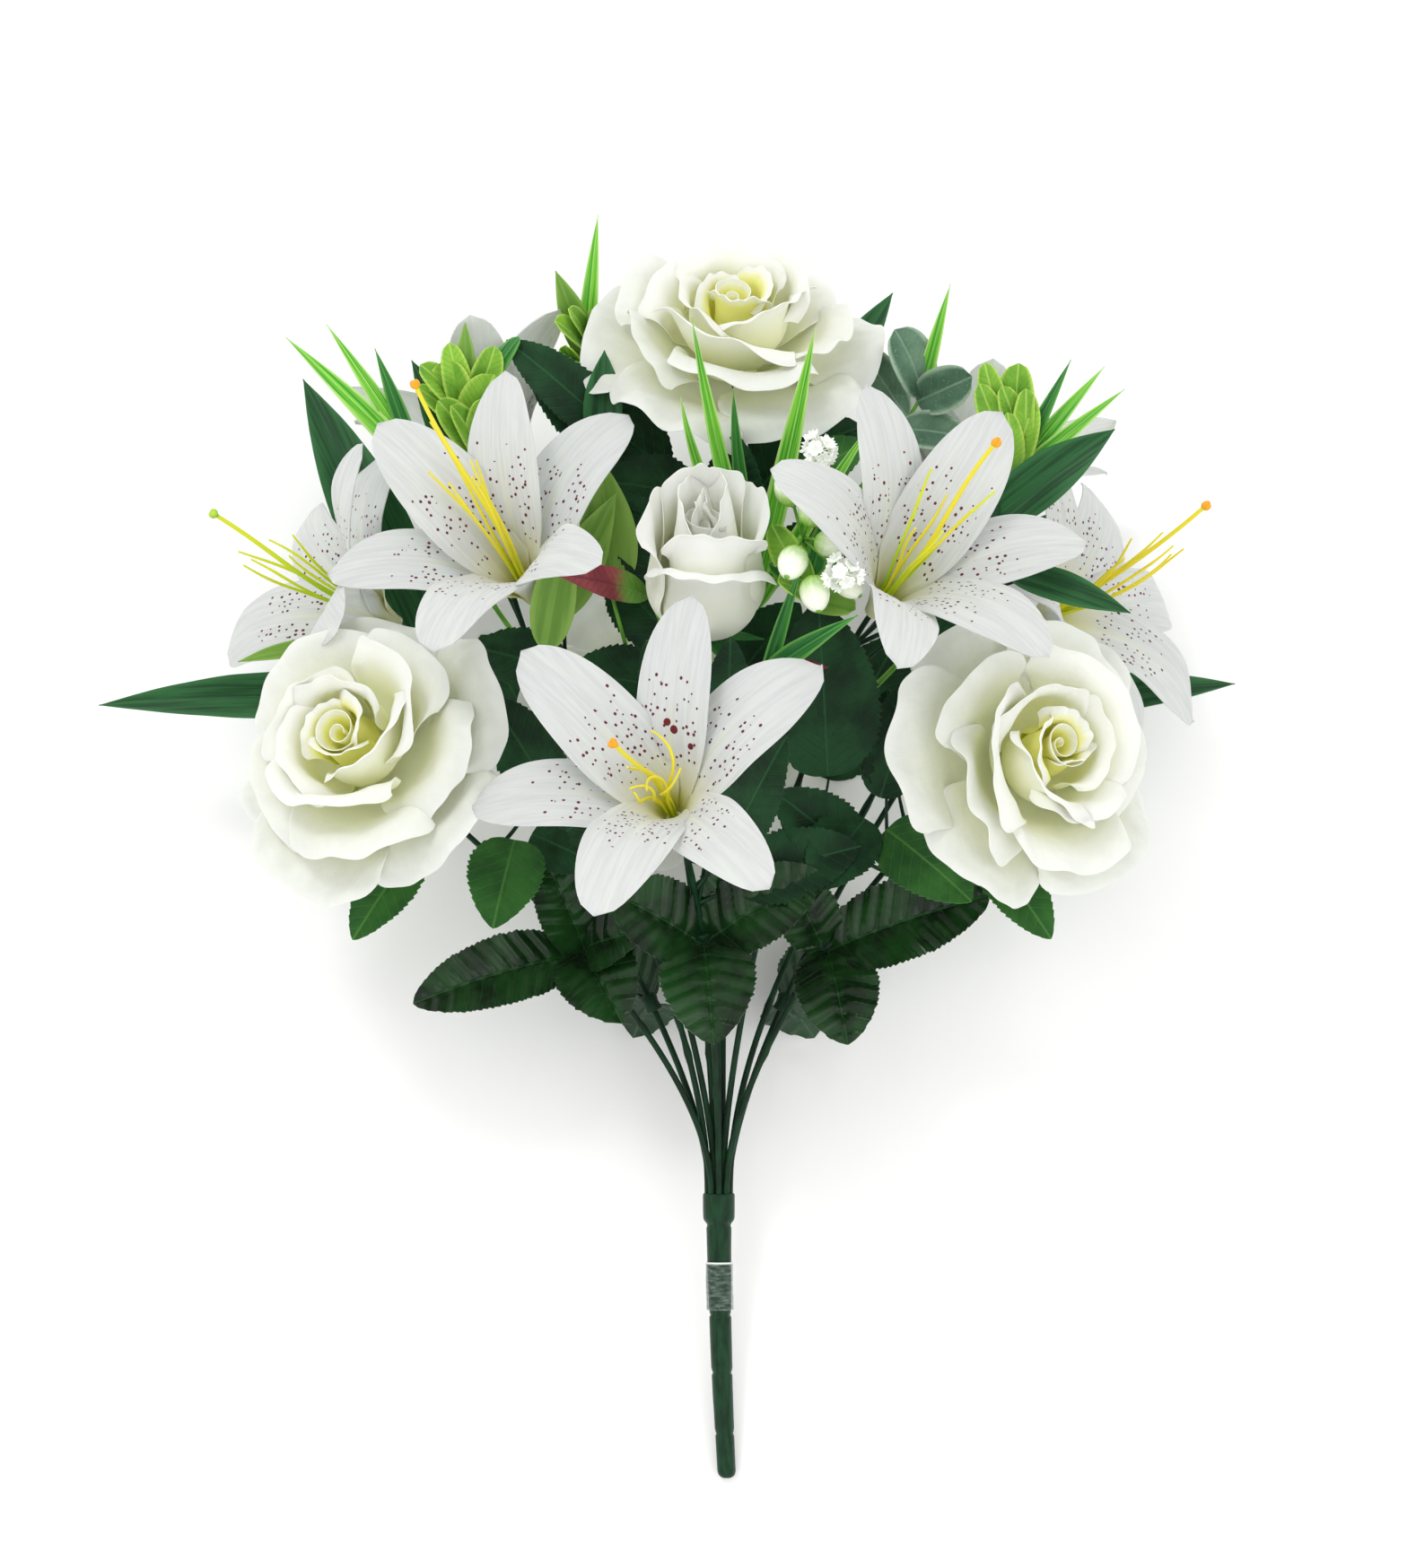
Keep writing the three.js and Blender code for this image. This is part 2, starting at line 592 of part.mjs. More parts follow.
// hole: [ring radius, degrees round it]. base and facing: foot and direction of the bloom. rise and reach:
// how far the stem runs on straight at its lower and upper end. leaves: [kind, place on the stem from 0 to
// 1, blade's root, blade's tip, width], with the petiole's elbow where it must go round something.
const PICKS = {
  rose_top: {
    bloom: "rose", hole: [OUTER_RING, 290],
    base: [5, 311, 4], facing: [0.03, 0.78, 0.62],
    rise: 120, reach: 50,
    leaves: [
      ["rose", 0.86, [-20, 274, 2], [-71, 309, 2], 25],
      ["rose", 0.84, [-22, 268, -16], [-40, 311, -18], 20],
      ["rose", 0.86, [18, 274, 4], [54, 290, 6], 26],
      ["lily", 0.88, [34, 290, -22], [67, 344, -26], 15],
      ["flat", 0.3, onSurface(40, 158), onSurface(72, 214), 38, [40, 116, -46]],
    ],
  },
  rose_left: {
    bloom: "rose", hole: [OUTER_RING, 130],
    base: [-123, 162, 57], facing: [-0.42, 0.36, 0.83],
    rise: 55, reach: 60,
    leaves: [
      ["rose", 0.7, [-74, 132, 30], [-76, 100, 55], 29],
      ["rose", 0.72, [-70, 136, 22], [-44, 124, 30], 22],
      ["rose", 0.86, [-112, 132, 40], [-134, 98, 60], 22],
    ],
  },
  rose_right: {
    bloom: "rose", hole: [OUTER_RING, 50],
    base: [106, 161, 62], facing: [0.5, 0.24, 0.83],
    rise: 55, reach: 55,
    leaves: [
      ["rose", 0.7, [62, 138, 40], [92, 112, 62], 30],
      ["rose", 0.82, [98, 132, 36], [122, 98, 50], 22],
    ],
  },
  rose_back: {
    bloom: "rose", hole: [OUTER_RING, 250],
    base: [-22, 178, -24], facing: [0, -0.225, -0.974],
    rise: 80, reach: 40,
    leaves: [
      ["flat", 0.44, onSurface(-62, 158), onSurface(-94, 214), 38, [-66, 112, -44]],
    ],
  },
  rosebud: {
    bloom: "bud", hole: [INNER_RING, 270],
    base: [-5, 212, 60], facing: [0, 0.85, 0.5],
    rise: 90, reach: 60,
    leaves: [
      ["rose", 0.83, [-15, 178, 50], [-27, 207, 64], 20],
      ["rose", 0.83, [3, 178, 58], [4, 208, 88], 18],
    ],
  },
  lily_front: {
    bloom: "lily", hole: [OUTER_RING, 90],
    base: [-16, 142, 90], facing: [-0.17, 0.42, 0.89],
    rise: 55, reach: 60,
    petals: [[82, 66], [140, 64], [182, 94], [-102, 60], [-46, 66], [40, 82]],
    pistil: [-37, 169, 150],
    leaves: [["rose", 0.74, [4, 132, 62], [24, 172, 98], 22]],
  },
  lily_upper_left: {
    bloom: "lily", hole: [INNER_RING, 150],
    base: [-69, 224, 42], facing: [-0.3, 0.5, 0.81],
    rise: 60, reach: 60,
    petals: [[92, 56], [142, 54], [184, 86], [-94, 56], [-26, 54], [62, 88]],
    pistil: [-109, 298, 95],
    leaves: [
      ["lily", 0.9, [-64, 204, 44], [-54, 250, 74], 16],
    ],
  },
  lily_upper_right: {
    bloom: "lily", hole: [INNER_RING, 30],
    base: [56, 218, 62], facing: [0.38, 0.5, 0.78],
    rise: 60, reach: 60,
    petals: [[100, 60], [158, 62], [-118, 62], [-62, 58], [2, 68], [52, 50]],
    pistil: [97, 275, 125],
    leaves: [
      ["rose", 0.7, [40, 158, 44], [36, 222, 66], 42],
      ["lily", 0.92, [98, 250, 36], [146, 286, 44], 19],
    ],
  },
  lily_far_left: {
    bloom: "lily", hole: [OUTER_RING, 210],
    base: [-123, 216, -18], facing: [-0.75, 0.35, 0.55],
    rise: 60, reach: 25,
    petals: [[144, 92], [100, 95], [52, 56], [-26, 60], [-96, 84], [-162, 84]],
    pistil: [-187, 255, 40],
    leaves: [
      ["lily", 0.82, [-118, 188, -30], [-236, 185, -8], 18],
      ["lily", 0.86, [-112, 208, -38], [-162, 313, -50], 27],
    ],
  },
  lily_far_right: {
    bloom: "lily", hole: [OUTER_RING, 330],
    base: [119, 217, -14], facing: [0.75, 0.3, 0.55],
    rise: 60, reach: 25,
    petals: [[105, 85], [46, 98], [0, 92], [-42, 86], [-110, 76], [170, 84]],
    pistil: [180, 258, 42],
    leaves: [
      ["lily", 0.82, [112, 184, -40], [201, 194, -46], 15],
    ],
  },
  lily_back_left: {
    bloom: "lily", hole: [OUTER_RING, 174],
    base: [-83, 249, -11], facing: [-0.12, 0.97, -0.15],
    rise: 84, reach: 60,
    petals: [[51, 36], [111, 30], [171, 36], [-129, 60], [-69, 56], [-9, 58]],
    pistil: [-104, 320, -22],
    leaves: [
      ["lily", 0.84, [-80, 230, -20], [-128, 284, -40], 18],
    ],
  },
  lily_back_right: {
    bloom: "lily", hole: [OUTER_RING, 10],
    base: [93, 232, -22], facing: [0.12, 0.97, -0.15],
    rise: 90, reach: 60,
    petals: [[9, 42], [69, 36], [129, 32], [-171, 52], [-111, 58], [-51, 50]],
    pistil: [106, 303, -24],
    leaves: [
      ["lily", 0.82, [84, 214, -26], [134, 262, -46], 18],
    ],
  },
};
const LEAF_FACING = new THREE.Vector3(0, 0.25, 1); // the bush's leaves turn their faces up and to the front

function stemRoute(pick) {
  const hole = holePlace(pick.hole);
  const frame = headFrame(pick.base, pick.facing);
  const drop = pick.bloom === "lily" ? 2 * CLEARANCE : CALYX_LENGTH - 1;
  const end = frame.at(0, 0, -drop);
  const lower = hole.clone().setY(pick.rise);
  const upper = frame.at(0, 0, -drop - pick.reach);
  return new THREE.CubicBezierCurve3(hole.clone().setY(CLEARANCE), lower, upper, end);
}

// The place on the stem's own straight stretches, at the given share of its length.
function onStem(pick, place) {
  const points = stemRoute(pick).getSpacedPoints(STEM_STEPS);
  const step = Math.min(Math.floor(place * STEM_STEPS), STEM_STEPS - 1);
  return points[step].clone().lerp(points[step + 1], place * STEM_STEPS - step);
}

// The thinner end that stands in the hole.
function stemFoot(pick) {
  const hole = holePlace(pick.hole);
  return straightTube(hole.clone().setY(-FOOT_DEPTH), hole.clone().setY(1), FOOT_RADIUS, STEM_SIDES);
}

function leafyStem(pick) {
  const parts = [stemFoot(pick), tube(stemRoute(pick), STEM_RADIUS, STEM_SIDES, STEM_STEPS)];
  for (const [kind, place, root, tip, width, elbow] of pick.leaves) {
    const rootPoint = point(root);
    const tipPoint = point(tip);
    const facing = kind === "flat" ? SURFACE_UP : LEAF_FACING;
    const from = onStem(pick, place);
    const ahead = tipPoint.clone().sub(rootPoint).normalize();
    const into = rootPoint.clone().addScaledVector(ahead, PETIOLE_OVERLAP);
    if (kind === "flat") into.addScaledVector(SURFACE_UP, LEAF_THICKNESS);
    const sag = rootPoint.clone().lerp(from, 0.4).addScaledVector(LEAF_FACING, -PETIOLE_SAG);
    parts.push(twig(from, elbow ? point(elbow) : sag, into, PETIOLE_RADIUS));
    parts.push(blade(kind, rootPoint, tipPoint, width, facing));
  }
  if (pick.bloom !== "lily") parts.push(calyx(headFrame(pick.base, pick.facing)));
  return join(parts);
}

function twig(from, bend, into, radius) {
  return tube(new THREE.QuadraticBezierCurve3(from, bend, into), radius, TWIG_SIDES, 2);
}

// What is threaded on a stem: a short sleeve round it, its twig and its blades. sleeve is [radius, length],
// twigTo is [bend, end]. A blade is [kind, root, tip, width, facing, arch]; its root is a share of the
// twig's upper half, or null on the sleeve.
function threaded({ on, place, sleeve, twigTo, blades }) {
  const pick = PICKS[on];
  const middle = onStem(pick, place);
  const axis = onStem(pick, place + 0.01).sub(onStem(pick, place - 0.01)).normalize();
  const low = middle.clone().addScaledVector(axis, -sleeve[1] / 2);
  const high = middle.clone().addScaledVector(axis, sleeve[1] / 2);
  const parts = [straightTube(low, high, sleeve[0], SLEEVE_SIDES)];
  // A place inside the sleeve's wall, on the side that faces the given place and partly to the front.
  const inWall = (towards, front) => {
    const outwards = towards.clone().sub(middle).normalize().addScaledVector(front, FRONT_SHARE);
    outwards.addScaledVector(axis, -outwards.dot(axis)).normalize();
    return middle.clone().addScaledVector(outwards, sleeve[0] - SLEEVE_GRIP);
  };
  let elbow;
  let end;
  if (twigTo) {
    const bend = point(twigTo[0]);
    end = point(twigTo[1]);
    const from = inWall(bend, LEAF_FACING);
    elbow = new THREE.QuadraticBezierCurve3(from, bend, end).getPoint(0.5);
    parts.push(twig(from, bend, end, TWIG_RADIUS));
  }
  for (const [kind, root, tip, width, facing, arch] of blades) {
    const tipPoint = point(tip);
    const front = facing ? point(facing) : LEAF_FACING;
    const start = root === null ? inWall(tipPoint, front) : elbow.clone().lerp(end, root);
    parts.push(blade(kind, start, tipPoint, width, front, arch));
  }
  return join(parts).subtract(tube(stemRoute(pick), STEM_HOLLOW_RADIUS, STEM_SIDES, STEM_STEPS));
}

const COLLAR_SLEEVE = [3.4, 7]; // radius and length
const TWIG_SLEEVE = [2.8, 5];
const DOWNWARD = [0, 0.3, -1];
const THREADED = {
  collar_left: {
    on: "rose_left", place: 0.5, sleeve: COLLAR_SLEEVE,
    colour: GLOSS_GREEN, roughness: 0.25,
    blades: [
      ["collar", null, [-114, 73, 26], 27],
      ["collar", null, [-36, 66, 32], 32],
      ["collar", null, [-67, 131, 24], 24],
      ["collar", null, [-28, 100, 30], 24],
    ],
  },
  collar_middle: {
    on: "lily_front", place: 0.6, sleeve: COLLAR_SLEEVE,
    colour: GLOSS_GREEN, roughness: 0.25,
    blades: [
      ["collar", null, [-2, 60, 62], 36],
      ["collar", null, [-42, 116, 52], 30],
      ["collar", null, [38, 122, 54], 30],
    ],
  },
  collar_right: {
    on: "rose_right", place: 0.5, sleeve: COLLAR_SLEEVE,
    colour: GLOSS_GREEN, roughness: 0.25,
    blades: [
      ["collar", null, [48, 58, 30], 32],
      ["collar", null, [101, 113, 24], 32],
      ["collar", null, [24, 122, 24], 24],
    ],
  },
  collar_back_left: {
    on: "lily_far_left", place: 0.3, sleeve: COLLAR_SLEEVE,
    colour: GLOSS_GREEN, roughness: 0.25,
    blades: [
      ["collar", null, [-62, 96, -38], 30, DOWNWARD],
      ["collar", null, [-30, 46, -30], 26, DOWNWARD],
    ],
  },
  collar_back_right: {
    on: "lily_far_right", place: 0.3, sleeve: COLLAR_SLEEVE,
    colour: GLOSS_GREEN, roughness: 0.25,
    blades: [
      ["collar", null, [66, 96, -38], 30, DOWNWARD],
      ["collar", null, [34, 46, -30], 26, DOWNWARD],
    ],
  },
  grass_middle: {
    on: "rosebud", place: 0.78, sleeve: TWIG_SLEEVE,
    colour: LIGHT_GREEN, roughness: 0.6,
    twigTo: [[18, 184, 14], [14, 230, 38]],
    blades: [
      ["grass", 0.75, [-14, 294, 88], 5, null, -0.17],
      ["grass", 0.82, [-10, 322, 94], 6, null, -0.1],
      ["grass", 0.89, [5, 296, 90], 5, null, -0.19],
      ["grass", 0.96, [34, 318, 92], 8, null, -0.08],
      ["grass", 0.75, [58, 290, 66], 6],
    ],
  },
  sprig_top: {
    on: "rose_top", place: 0.8, sleeve: TWIG_SLEEVE,
    colour: LIGHT_GREEN, roughness: 0.6,
    twigTo: [[-36, 268, -52], [-52, 322, -24]],
    blades: [
      ["grass", 0.97, [-46, 372, -10], 6],
      ["lily", 0.92, [-62, 350, -4], 11],
      ["round", 0.8, [-62, 330, 4], 11],
      ["round", 0.7, [-28, 322, -26], 10],
    ],
  },
  sprig_left: {
    on: "lily_upper_left", place: 0.84, sleeve: TWIG_SLEEVE,
    colour: LIGHT_GREEN, roughness: 0.6,
    twigTo: [[-80, 240, -6], [-96, 294, 10]],
    blades: [
      ["round", 0.96, [-102, 314, 20], 13],
      ["round", 0.9, [-84, 308, 24], 12],
      ["round", 0.7, [-105, 298, 26], 10],
    ],
  },
  grass_left: {
    on: "lily_upper_left", place: 0.76, sleeve: TWIG_SLEEVE,
    colour: LIGHT_GREEN, roughness: 0.6,
    twigTo: [[-98, 232, -4], [-116, 282, 14]],
    blades: [
      ["grass", 0.8, [-161, 321, 34], 8],
      ["grass", 0.9, [-146, 326, 32], 6],
      ["grass", 0.97, [-128, 317, 32], 6],
    ],
  },
  eucalyptus: {
    on: "rose_top", place: 0.7, sleeve: TWIG_SLEEVE,
    colour: GREY_GREEN, roughness: 0.7,
    twigTo: [[50, 256, -26], [78, 304, -2]],
    blades: [
      ["round", 0.97, [66, 326, 12], 19],
      ["round", 0.92, [95, 308, 16], 17],
      ["round", 0.8, [56, 320, -16], 15],
      ["round", 0.7, [92, 286, 8], 15],
      ["grass", 0.95, [87, 343, 14], 5],
    ],
  },
  grass_right: {
    on: "lily_upper_right", place: 0.76, sleeve: TWIG_SLEEVE,
    colour: LIGHT_GREEN, roughness: 0.6,
    twigTo: [[98, 222, 0], [114, 278, 20]],
    blades: [
      ["grass", 0.8, [151, 302, 30], 6],
      ["grass", 0.87, [144, 311, 24], 6],
      ["grass", 0.93, [131, 313, 30], 5],
      ["round", 0.98, [112, 312, 26], 12],
    ],
  },
  berry_spray: {
    on: "lily_upper_right", place: 0.84, sleeve: TWIG_SLEEVE,
    colour: LIGHT_GREEN, roughness: 0.6,
    twigTo: [[34, 200, 46], [32, 236, 64]],
    blades: [
      ["round", 0.8, [54, 252, 66], 14],
      ["grass", 0.7, [42, 262, 84], 7],
    ],
  },
  light_leaves: {
    on: "rosebud", place: 0.7, sleeve: TWIG_SLEEVE,
    colour: LIGHT_GREEN, roughness: 0.6,
    twigTo: [[-26, 170, 26], [-40, 226, 30]],
    blades: [
      ["lily", 0.95, [-44, 276, 38], 21],
    ],
  },
  grass_low: {
    on: "rosebud", place: 0.62, sleeve: TWIG_SLEEVE,
    colour: LIGHT_GREEN, roughness: 0.6,
    twigTo: [[24, 150, 34], [16, 196, 66]],
    blades: [
      ["grass", 0.95, [49, 215, 104], 8],
      ["grass", 0.85, [30, 236, 84], 5],
    ],
  },
  leaf_buds: {
    on: "rosebud", place: 0.9, sleeve: TWIG_SLEEVE,
    colour: BURGUNDY, roughness: 0.5,
    twigTo: [[-14, 200, 40], [-26, 224, 56]],
    blades: [
      ["round", 0.9, [-60, 230, 86], 11],
    ],
  },
};

// ---------- berries, florets and burgundy leaf buds ----------

// Oval berries on stalks that spring from one foot.
function berryCluster(foot, berries) {
  const parts = [ball(point(foot), 1.75, 1.75)];
  for (const [place, size] of berries) {
    parts.push(straightTube(point(foot), point(place), STALK_RADIUS, 3));
    parts.push(ball(point(place), size * 0.375, size / 2));
  }
  return join(parts);
}

// A head of small florets round a smaller core, placed by the golden angle.
function floretHead(middle, count, radius) {
  const parts = [ball(point(middle), radius * 0.75, radius * 0.75)];
  for (let i = 0; i < count; i++) {
    const up = 1 - (2 * (i + 0.5)) / count;
    const ring = Math.sqrt(1 - up * up);
    const turn = degrees(137.5 * i);
    const offset = new THREE.Vector3(ring * Math.cos(turn), up, ring * Math.sin(turn));
    offset.multiplyScalar(radius * 0.85);
    const floret = new THREE.OctahedronGeometry(radius * 0.5, 0);
    floret.translate(middle[0] + offset.x, middle[1] + offset.y, middle[2] + offset.z);
    parts.push(solidFrom(floret));
  }
  return join(parts);
}

const STALK_RADIUS = 0.7;
const FLORETS = 4; // of one head
const FLORET_RING = 5;
const BERRIES = [
  [[28, 263, 80], 13], [[37, 253, 90], 14], [[27, 236, 98], 13],
  [[33, 224, 98], 13], [[41, 231, 88], 11], [[38, 243, 92], 12],
];
const FLORET_HEADS = [[41, 230, 104], [42, 276, 84]];
const BERRY_FOOT = [30, 244, 72];
const berryHead = join([
  berryCluster(BERRY_FOOT, BERRIES),
  ...FLORET_HEADS.map((middle) => floretHead(middle, FLORETS, FLORET_RING)),
  ...FLORET_HEADS.map((middle) => straightTube(point(BERRY_FOOT), point(middle), STALK_RADIUS, 3)),
]);
addNode("berries", berryHead, finish(BERRY_PALE, 0.35));

for (const [name, pick] of Object.entries(PICKS)) {
  const frame = headFrame(pick.base, pick.facing);
  addNode(name + "_stem", leafyStem(pick), finish(LEAF_GREEN, 0.6));
  if (pick.bloom === "lily") {
    addNode(name + "_petals", lilyBloom(frame, pick.petals), finish(PETAL_WHITE, 0.75));
    addNode(name + "_stamens", lilyStamens(frame, pick.pistil), finish(STAMEN_YELLOW, 0.5));
  } else {
    addNode(name + "_petals", roseBloom(frame, pick.bloom === "bud" ? BUD : ROSE), finish(ROSE_CREAM, 0.8));
  }
}

for (const [name, piece] of Object.entries(THREADED)) {
  addNode(name, threaded(piece), finish(piece.colour, piece.roughness));
}

addNode("handle", handle(Object.values(PICKS).map((pick) => pick.hole)), finish(HANDLE_GREEN, 0.45));
addNode("tape_band", tapeBand(), finish(TAPE_CLEAR, 0.15));

// ---------- laid down ----------

bush.rotation.x = LEAN;
bush.updateMatrixWorld(true);
const box = new THREE.Box3().setFromObject(bush, true);
bush.position.set(-(box.min.x + box.max.x) / 2, -(box.min.y + box.max.y) / 2, REST_DEPTH);

const part = new THREE.Group();
part.add(bush);

export default part;
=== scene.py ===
import math

import bpy
import numpy as np
from mathutils import Matrix, Vector

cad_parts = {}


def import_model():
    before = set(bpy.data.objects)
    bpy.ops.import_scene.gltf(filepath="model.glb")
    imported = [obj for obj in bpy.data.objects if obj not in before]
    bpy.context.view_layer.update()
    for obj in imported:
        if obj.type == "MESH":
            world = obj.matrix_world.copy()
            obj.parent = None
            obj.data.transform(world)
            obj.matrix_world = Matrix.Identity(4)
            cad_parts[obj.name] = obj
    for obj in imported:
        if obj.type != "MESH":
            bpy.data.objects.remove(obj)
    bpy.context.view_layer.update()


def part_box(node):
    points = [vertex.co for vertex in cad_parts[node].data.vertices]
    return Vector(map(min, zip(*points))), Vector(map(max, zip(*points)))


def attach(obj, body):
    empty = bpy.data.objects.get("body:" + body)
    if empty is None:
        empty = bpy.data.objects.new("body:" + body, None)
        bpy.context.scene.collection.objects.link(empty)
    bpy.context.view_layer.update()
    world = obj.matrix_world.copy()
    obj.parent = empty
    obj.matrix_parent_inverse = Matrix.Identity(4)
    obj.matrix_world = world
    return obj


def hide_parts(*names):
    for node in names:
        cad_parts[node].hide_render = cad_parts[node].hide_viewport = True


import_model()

# The bush is made upright in its own frame, in millimetres: x to the right, y up along the stems, z to the
# front, origin at the top of the handle. world() lays it back on the floor, where the CAD model lies.
LEAN = math.radians(13)
HANDLE_TOP_RADIUS = 5.9
MM = 0.001
LAID = np.array([
    [1, 0, 0],
    [0, math.cos(LEAN), -math.sin(LEAN)],
    [0, math.sin(LEAN), math.cos(LEAN)],
])
handle_low, handle_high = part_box("handle")
SHIFT = np.array([
    handle_low.x + HANDLE_TOP_RADIUS * MM,
    handle_high.y - HANDLE_TOP_RADIUS * MM * math.sin(LEAN),
    handle_high.z - HANDLE_TOP_RADIUS * MM * math.cos(LEAN),
])
REST_DEPTH = SHIFT[2] / MM
rng = np.random.default_rng(7)


def world(places):
    return (np.asarray(places, float) * MM) @ LAID.T + SHIFT


def vec(values):
    return np.asarray(values, float)


def unit(v):
    v = vec(v)
    return v / np.linalg.norm(v)


def square_to(axis, hint):
    """Two directions that are square to an axis and to each other."""
    side = unit(np.cross(axis, hint))
    return side, np.cross(axis, side)


def mix(a, b, share):
    return a + (b - a) * share


def smooth(x, low, high):
    u = np.clip((x - low) / (high - low), 0, 1)
    return u * u * (3 - 2 * u)


def grid(columns, rows):
    """A sheet's shares: s across it from -1 to 1, t along it from 0 to 1."""
    return np.linspace(-1, 1, columns)[None, :], np.linspace(0, 1, rows)[:, None]


def run_along(points):
    """How far along a line each of its points is."""
    return np.concatenate([[0], np.cumsum(np.linalg.norm(np.diff(points, axis=0), axis=1))])


def bezier(values, t):
    u = 1 - t
    return u ** 3 * values[0] + 3 * u * u * t * values[1] + 3 * u * t * t * values[2] + t ** 3 * values[3]


def curve(points, count):
    """Points along a Bezier curve of three or four control points, evenly spaced."""
    p = vec(points)
    t = np.linspace(0, 1, 161)[:, None]
    if len(p) == 3:
        fine = (1 - t) ** 2 * p[0] + 2 * t * (1 - t) * p[1] + t * t * p[2]
    else:
        fine = bezier(p, t)
    run = run_along(fine)
    even = np.linspace(0, run[-1], count)
    return np.stack([np.interp(even, run, fine[:, k]) for k in range(3)], axis=1)


class Head:
    """The frame of a flower head: z out of its face, y the nearest to upright."""

    def __init__(self, base, facing):
        self.origin = vec(base)
        self.z = unit(facing)
        self.y = unit(vec([0, 1, 0]) - self.z * self.z[1])
        self.x = np.cross(self.y, self.z)

    def at(self, r, turn, height):
        r, turn, height = (v[..., None] for v in np.broadcast_arrays(r, turn, height))
        return self.origin + r * np.cos(turn) * self.x + r * np.sin(turn) * self.y + height * self.z


# ---------- materials ----------


def rgb(code):
    values = [int(code[i:i + 2], 16) / 255 for i in (1, 3, 5)]
    return tuple(v / 12.92 if v < 0.04045 else ((v + 0.055) / 1.055) ** 2.4 for v in values) + (1,)


class Finish:
    """A material with short ways to build it. It reads two attributes of a piece. grain is the place on the
    cloth in mm and the piece's own seed, share is s across, t along and depth in the flower."""

    def __init__(self, name, sockets):
        self.material = bpy.data.materials.new(name)
        self.material.use_nodes = True
        self.tree = self.material.node_tree
        self.shader = self.tree.nodes["Principled BSDF"]
        for socket, value in sockets.items():
            self.shader.inputs[socket].default_value = value
        self.across, self.along, self.seed = self.split(self.attribute("grain"))
        self.s, self.t, self.depth = self.split(self.attribute("share"))
        self.away = self.math("ABSOLUTE", self.across)  # mm from the midrib
        self.aside = self.math("ABSOLUTE", self.s)  # the same, 1 at the edge
        self.base = None

    def put(self, socket, value):
        if isinstance(value, bpy.types.NodeSocket):
            self.tree.links.new(value, socket)
        else:
            socket.default_value = value

    def node(self, kind, inputs=None, output=0, **settings):
        made = self.tree.nodes.new("ShaderNode" + kind)
        for key, value in settings.items():
            setattr(made, key, value)
        for key, value in (inputs or {}).items():
            self.put(made.inputs[key], value)
        return made.outputs[output]

    def attribute(self, name):
        return self.node("Attribute", output=1, attribute_name=name)

    def split(self, vector):
        parts = self.node("SeparateXYZ", {0: vector}).node.outputs
        return parts[0], parts[1], parts[2]

    def math(self, operation, a, b=0.0):
        return self.node("Math", {0: a, 1: b}, operation=operation)

    def times(self, a, b):
        return self.math("MULTIPLY", a, b)

    def plus(self, a, b):
        return self.math("ADD", a, b)

    def place(self, x, y, z=0.0):
        return self.node("CombineXYZ", {0: x, 1: y, 2: z})

    def noise(self, vector, scale=1.0, detail=2.0, roughness=0.5):
        inputs = {"Vector": vector, "Scale": scale, "Detail": detail, "Roughness": roughness}
        return self.node("TexNoise", inputs)

    def clouds(self, across, along, seed, **settings):
        """Noise on the grain, in patches of about the given millimetres."""
        x, y = self.times(self.across, 1 / across), self.times(self.along, 1 / along)
        return self.noise(self.place(x, y, self.times(self.seed, seed)), **settings)

    def smooth(self, value, low, high, to_low=0.0, to_high=1.0):
        if low > high:
            low, high, to_low, to_high = high, low, to_high, to_low
        inputs = {0: value, 1: low, 2: high, 3: to_low, 4: to_high}
        return self.node("MapRange", inputs, interpolation_type="SMOOTHSTEP")

    def blend(self, share, a, b):
        return self.node("Mix", {0: share, 6: a, 7: b}, output=2, data_type="RGBA")

    def ground(self, share, low, high):
        """The lowest colour, from low to high."""
        self.base = self.blend(share, rgb(low), rgb(high))

    def over(self, code, share):
        """Lays a colour over those below it."""
        self.base = self.blend(share, self.base, rgb(code))

    def worn(self, by, gloss, less, more):
        """Roughness that varies about gloss."""
        self.put(self.shader.inputs["Roughness"], self.smooth(by, 0.2, 0.8, gloss - less, gloss + more))

    def done(self, height=None, depth_mm=0.0):
        self.put(self.shader.inputs["Base Color"], self.base)
        if height is not None:
            normal = self.node("Bump", {"Strength": 1.0, "Distance": depth_mm * MM, "Height": height})
            self.put(self.shader.inputs["Normal"], normal)
        return self.material


CLOTH = {
    "Roughness": 0.75, "Sheen Weight": 0.12, "Sheen Roughness": 0.4,
    "Subsurface Weight": 0.25, "Subsurface Scale": 0.003, "Subsurface Radius": (1, 1, 0.8),
    "Specular IOR Level": 0.25,
}
PLASTIC = {"Roughness": 0.45, "Specular IOR Level": 0.17}
GREEN_GLOW = {"Subsurface Scale": 0.002, "Subsurface Radius": (0.6, 1, 0.3)}
THREAD_MM = 0.32
# Each dark blotch of the front lily's marked petal: place across and along it, and radius, in mm.
BLOTCHES = ((1.6, 41.0, 1.5), (-1.0, 38.4, 1.7), (-7.4, 33.0, 1.25))
BLOTCH_WIDEN = 1.15  # a blotch is this much longer along the petal than across it


def weave(f):
    """Height of a plain weave of threads, by the cloth's own grain."""
    warp, weft = (f.math("SINE", f.times(way, 2 * math.pi / THREAD_MM)) for way in (f.across, f.along))
    return f.times(warp, weft)


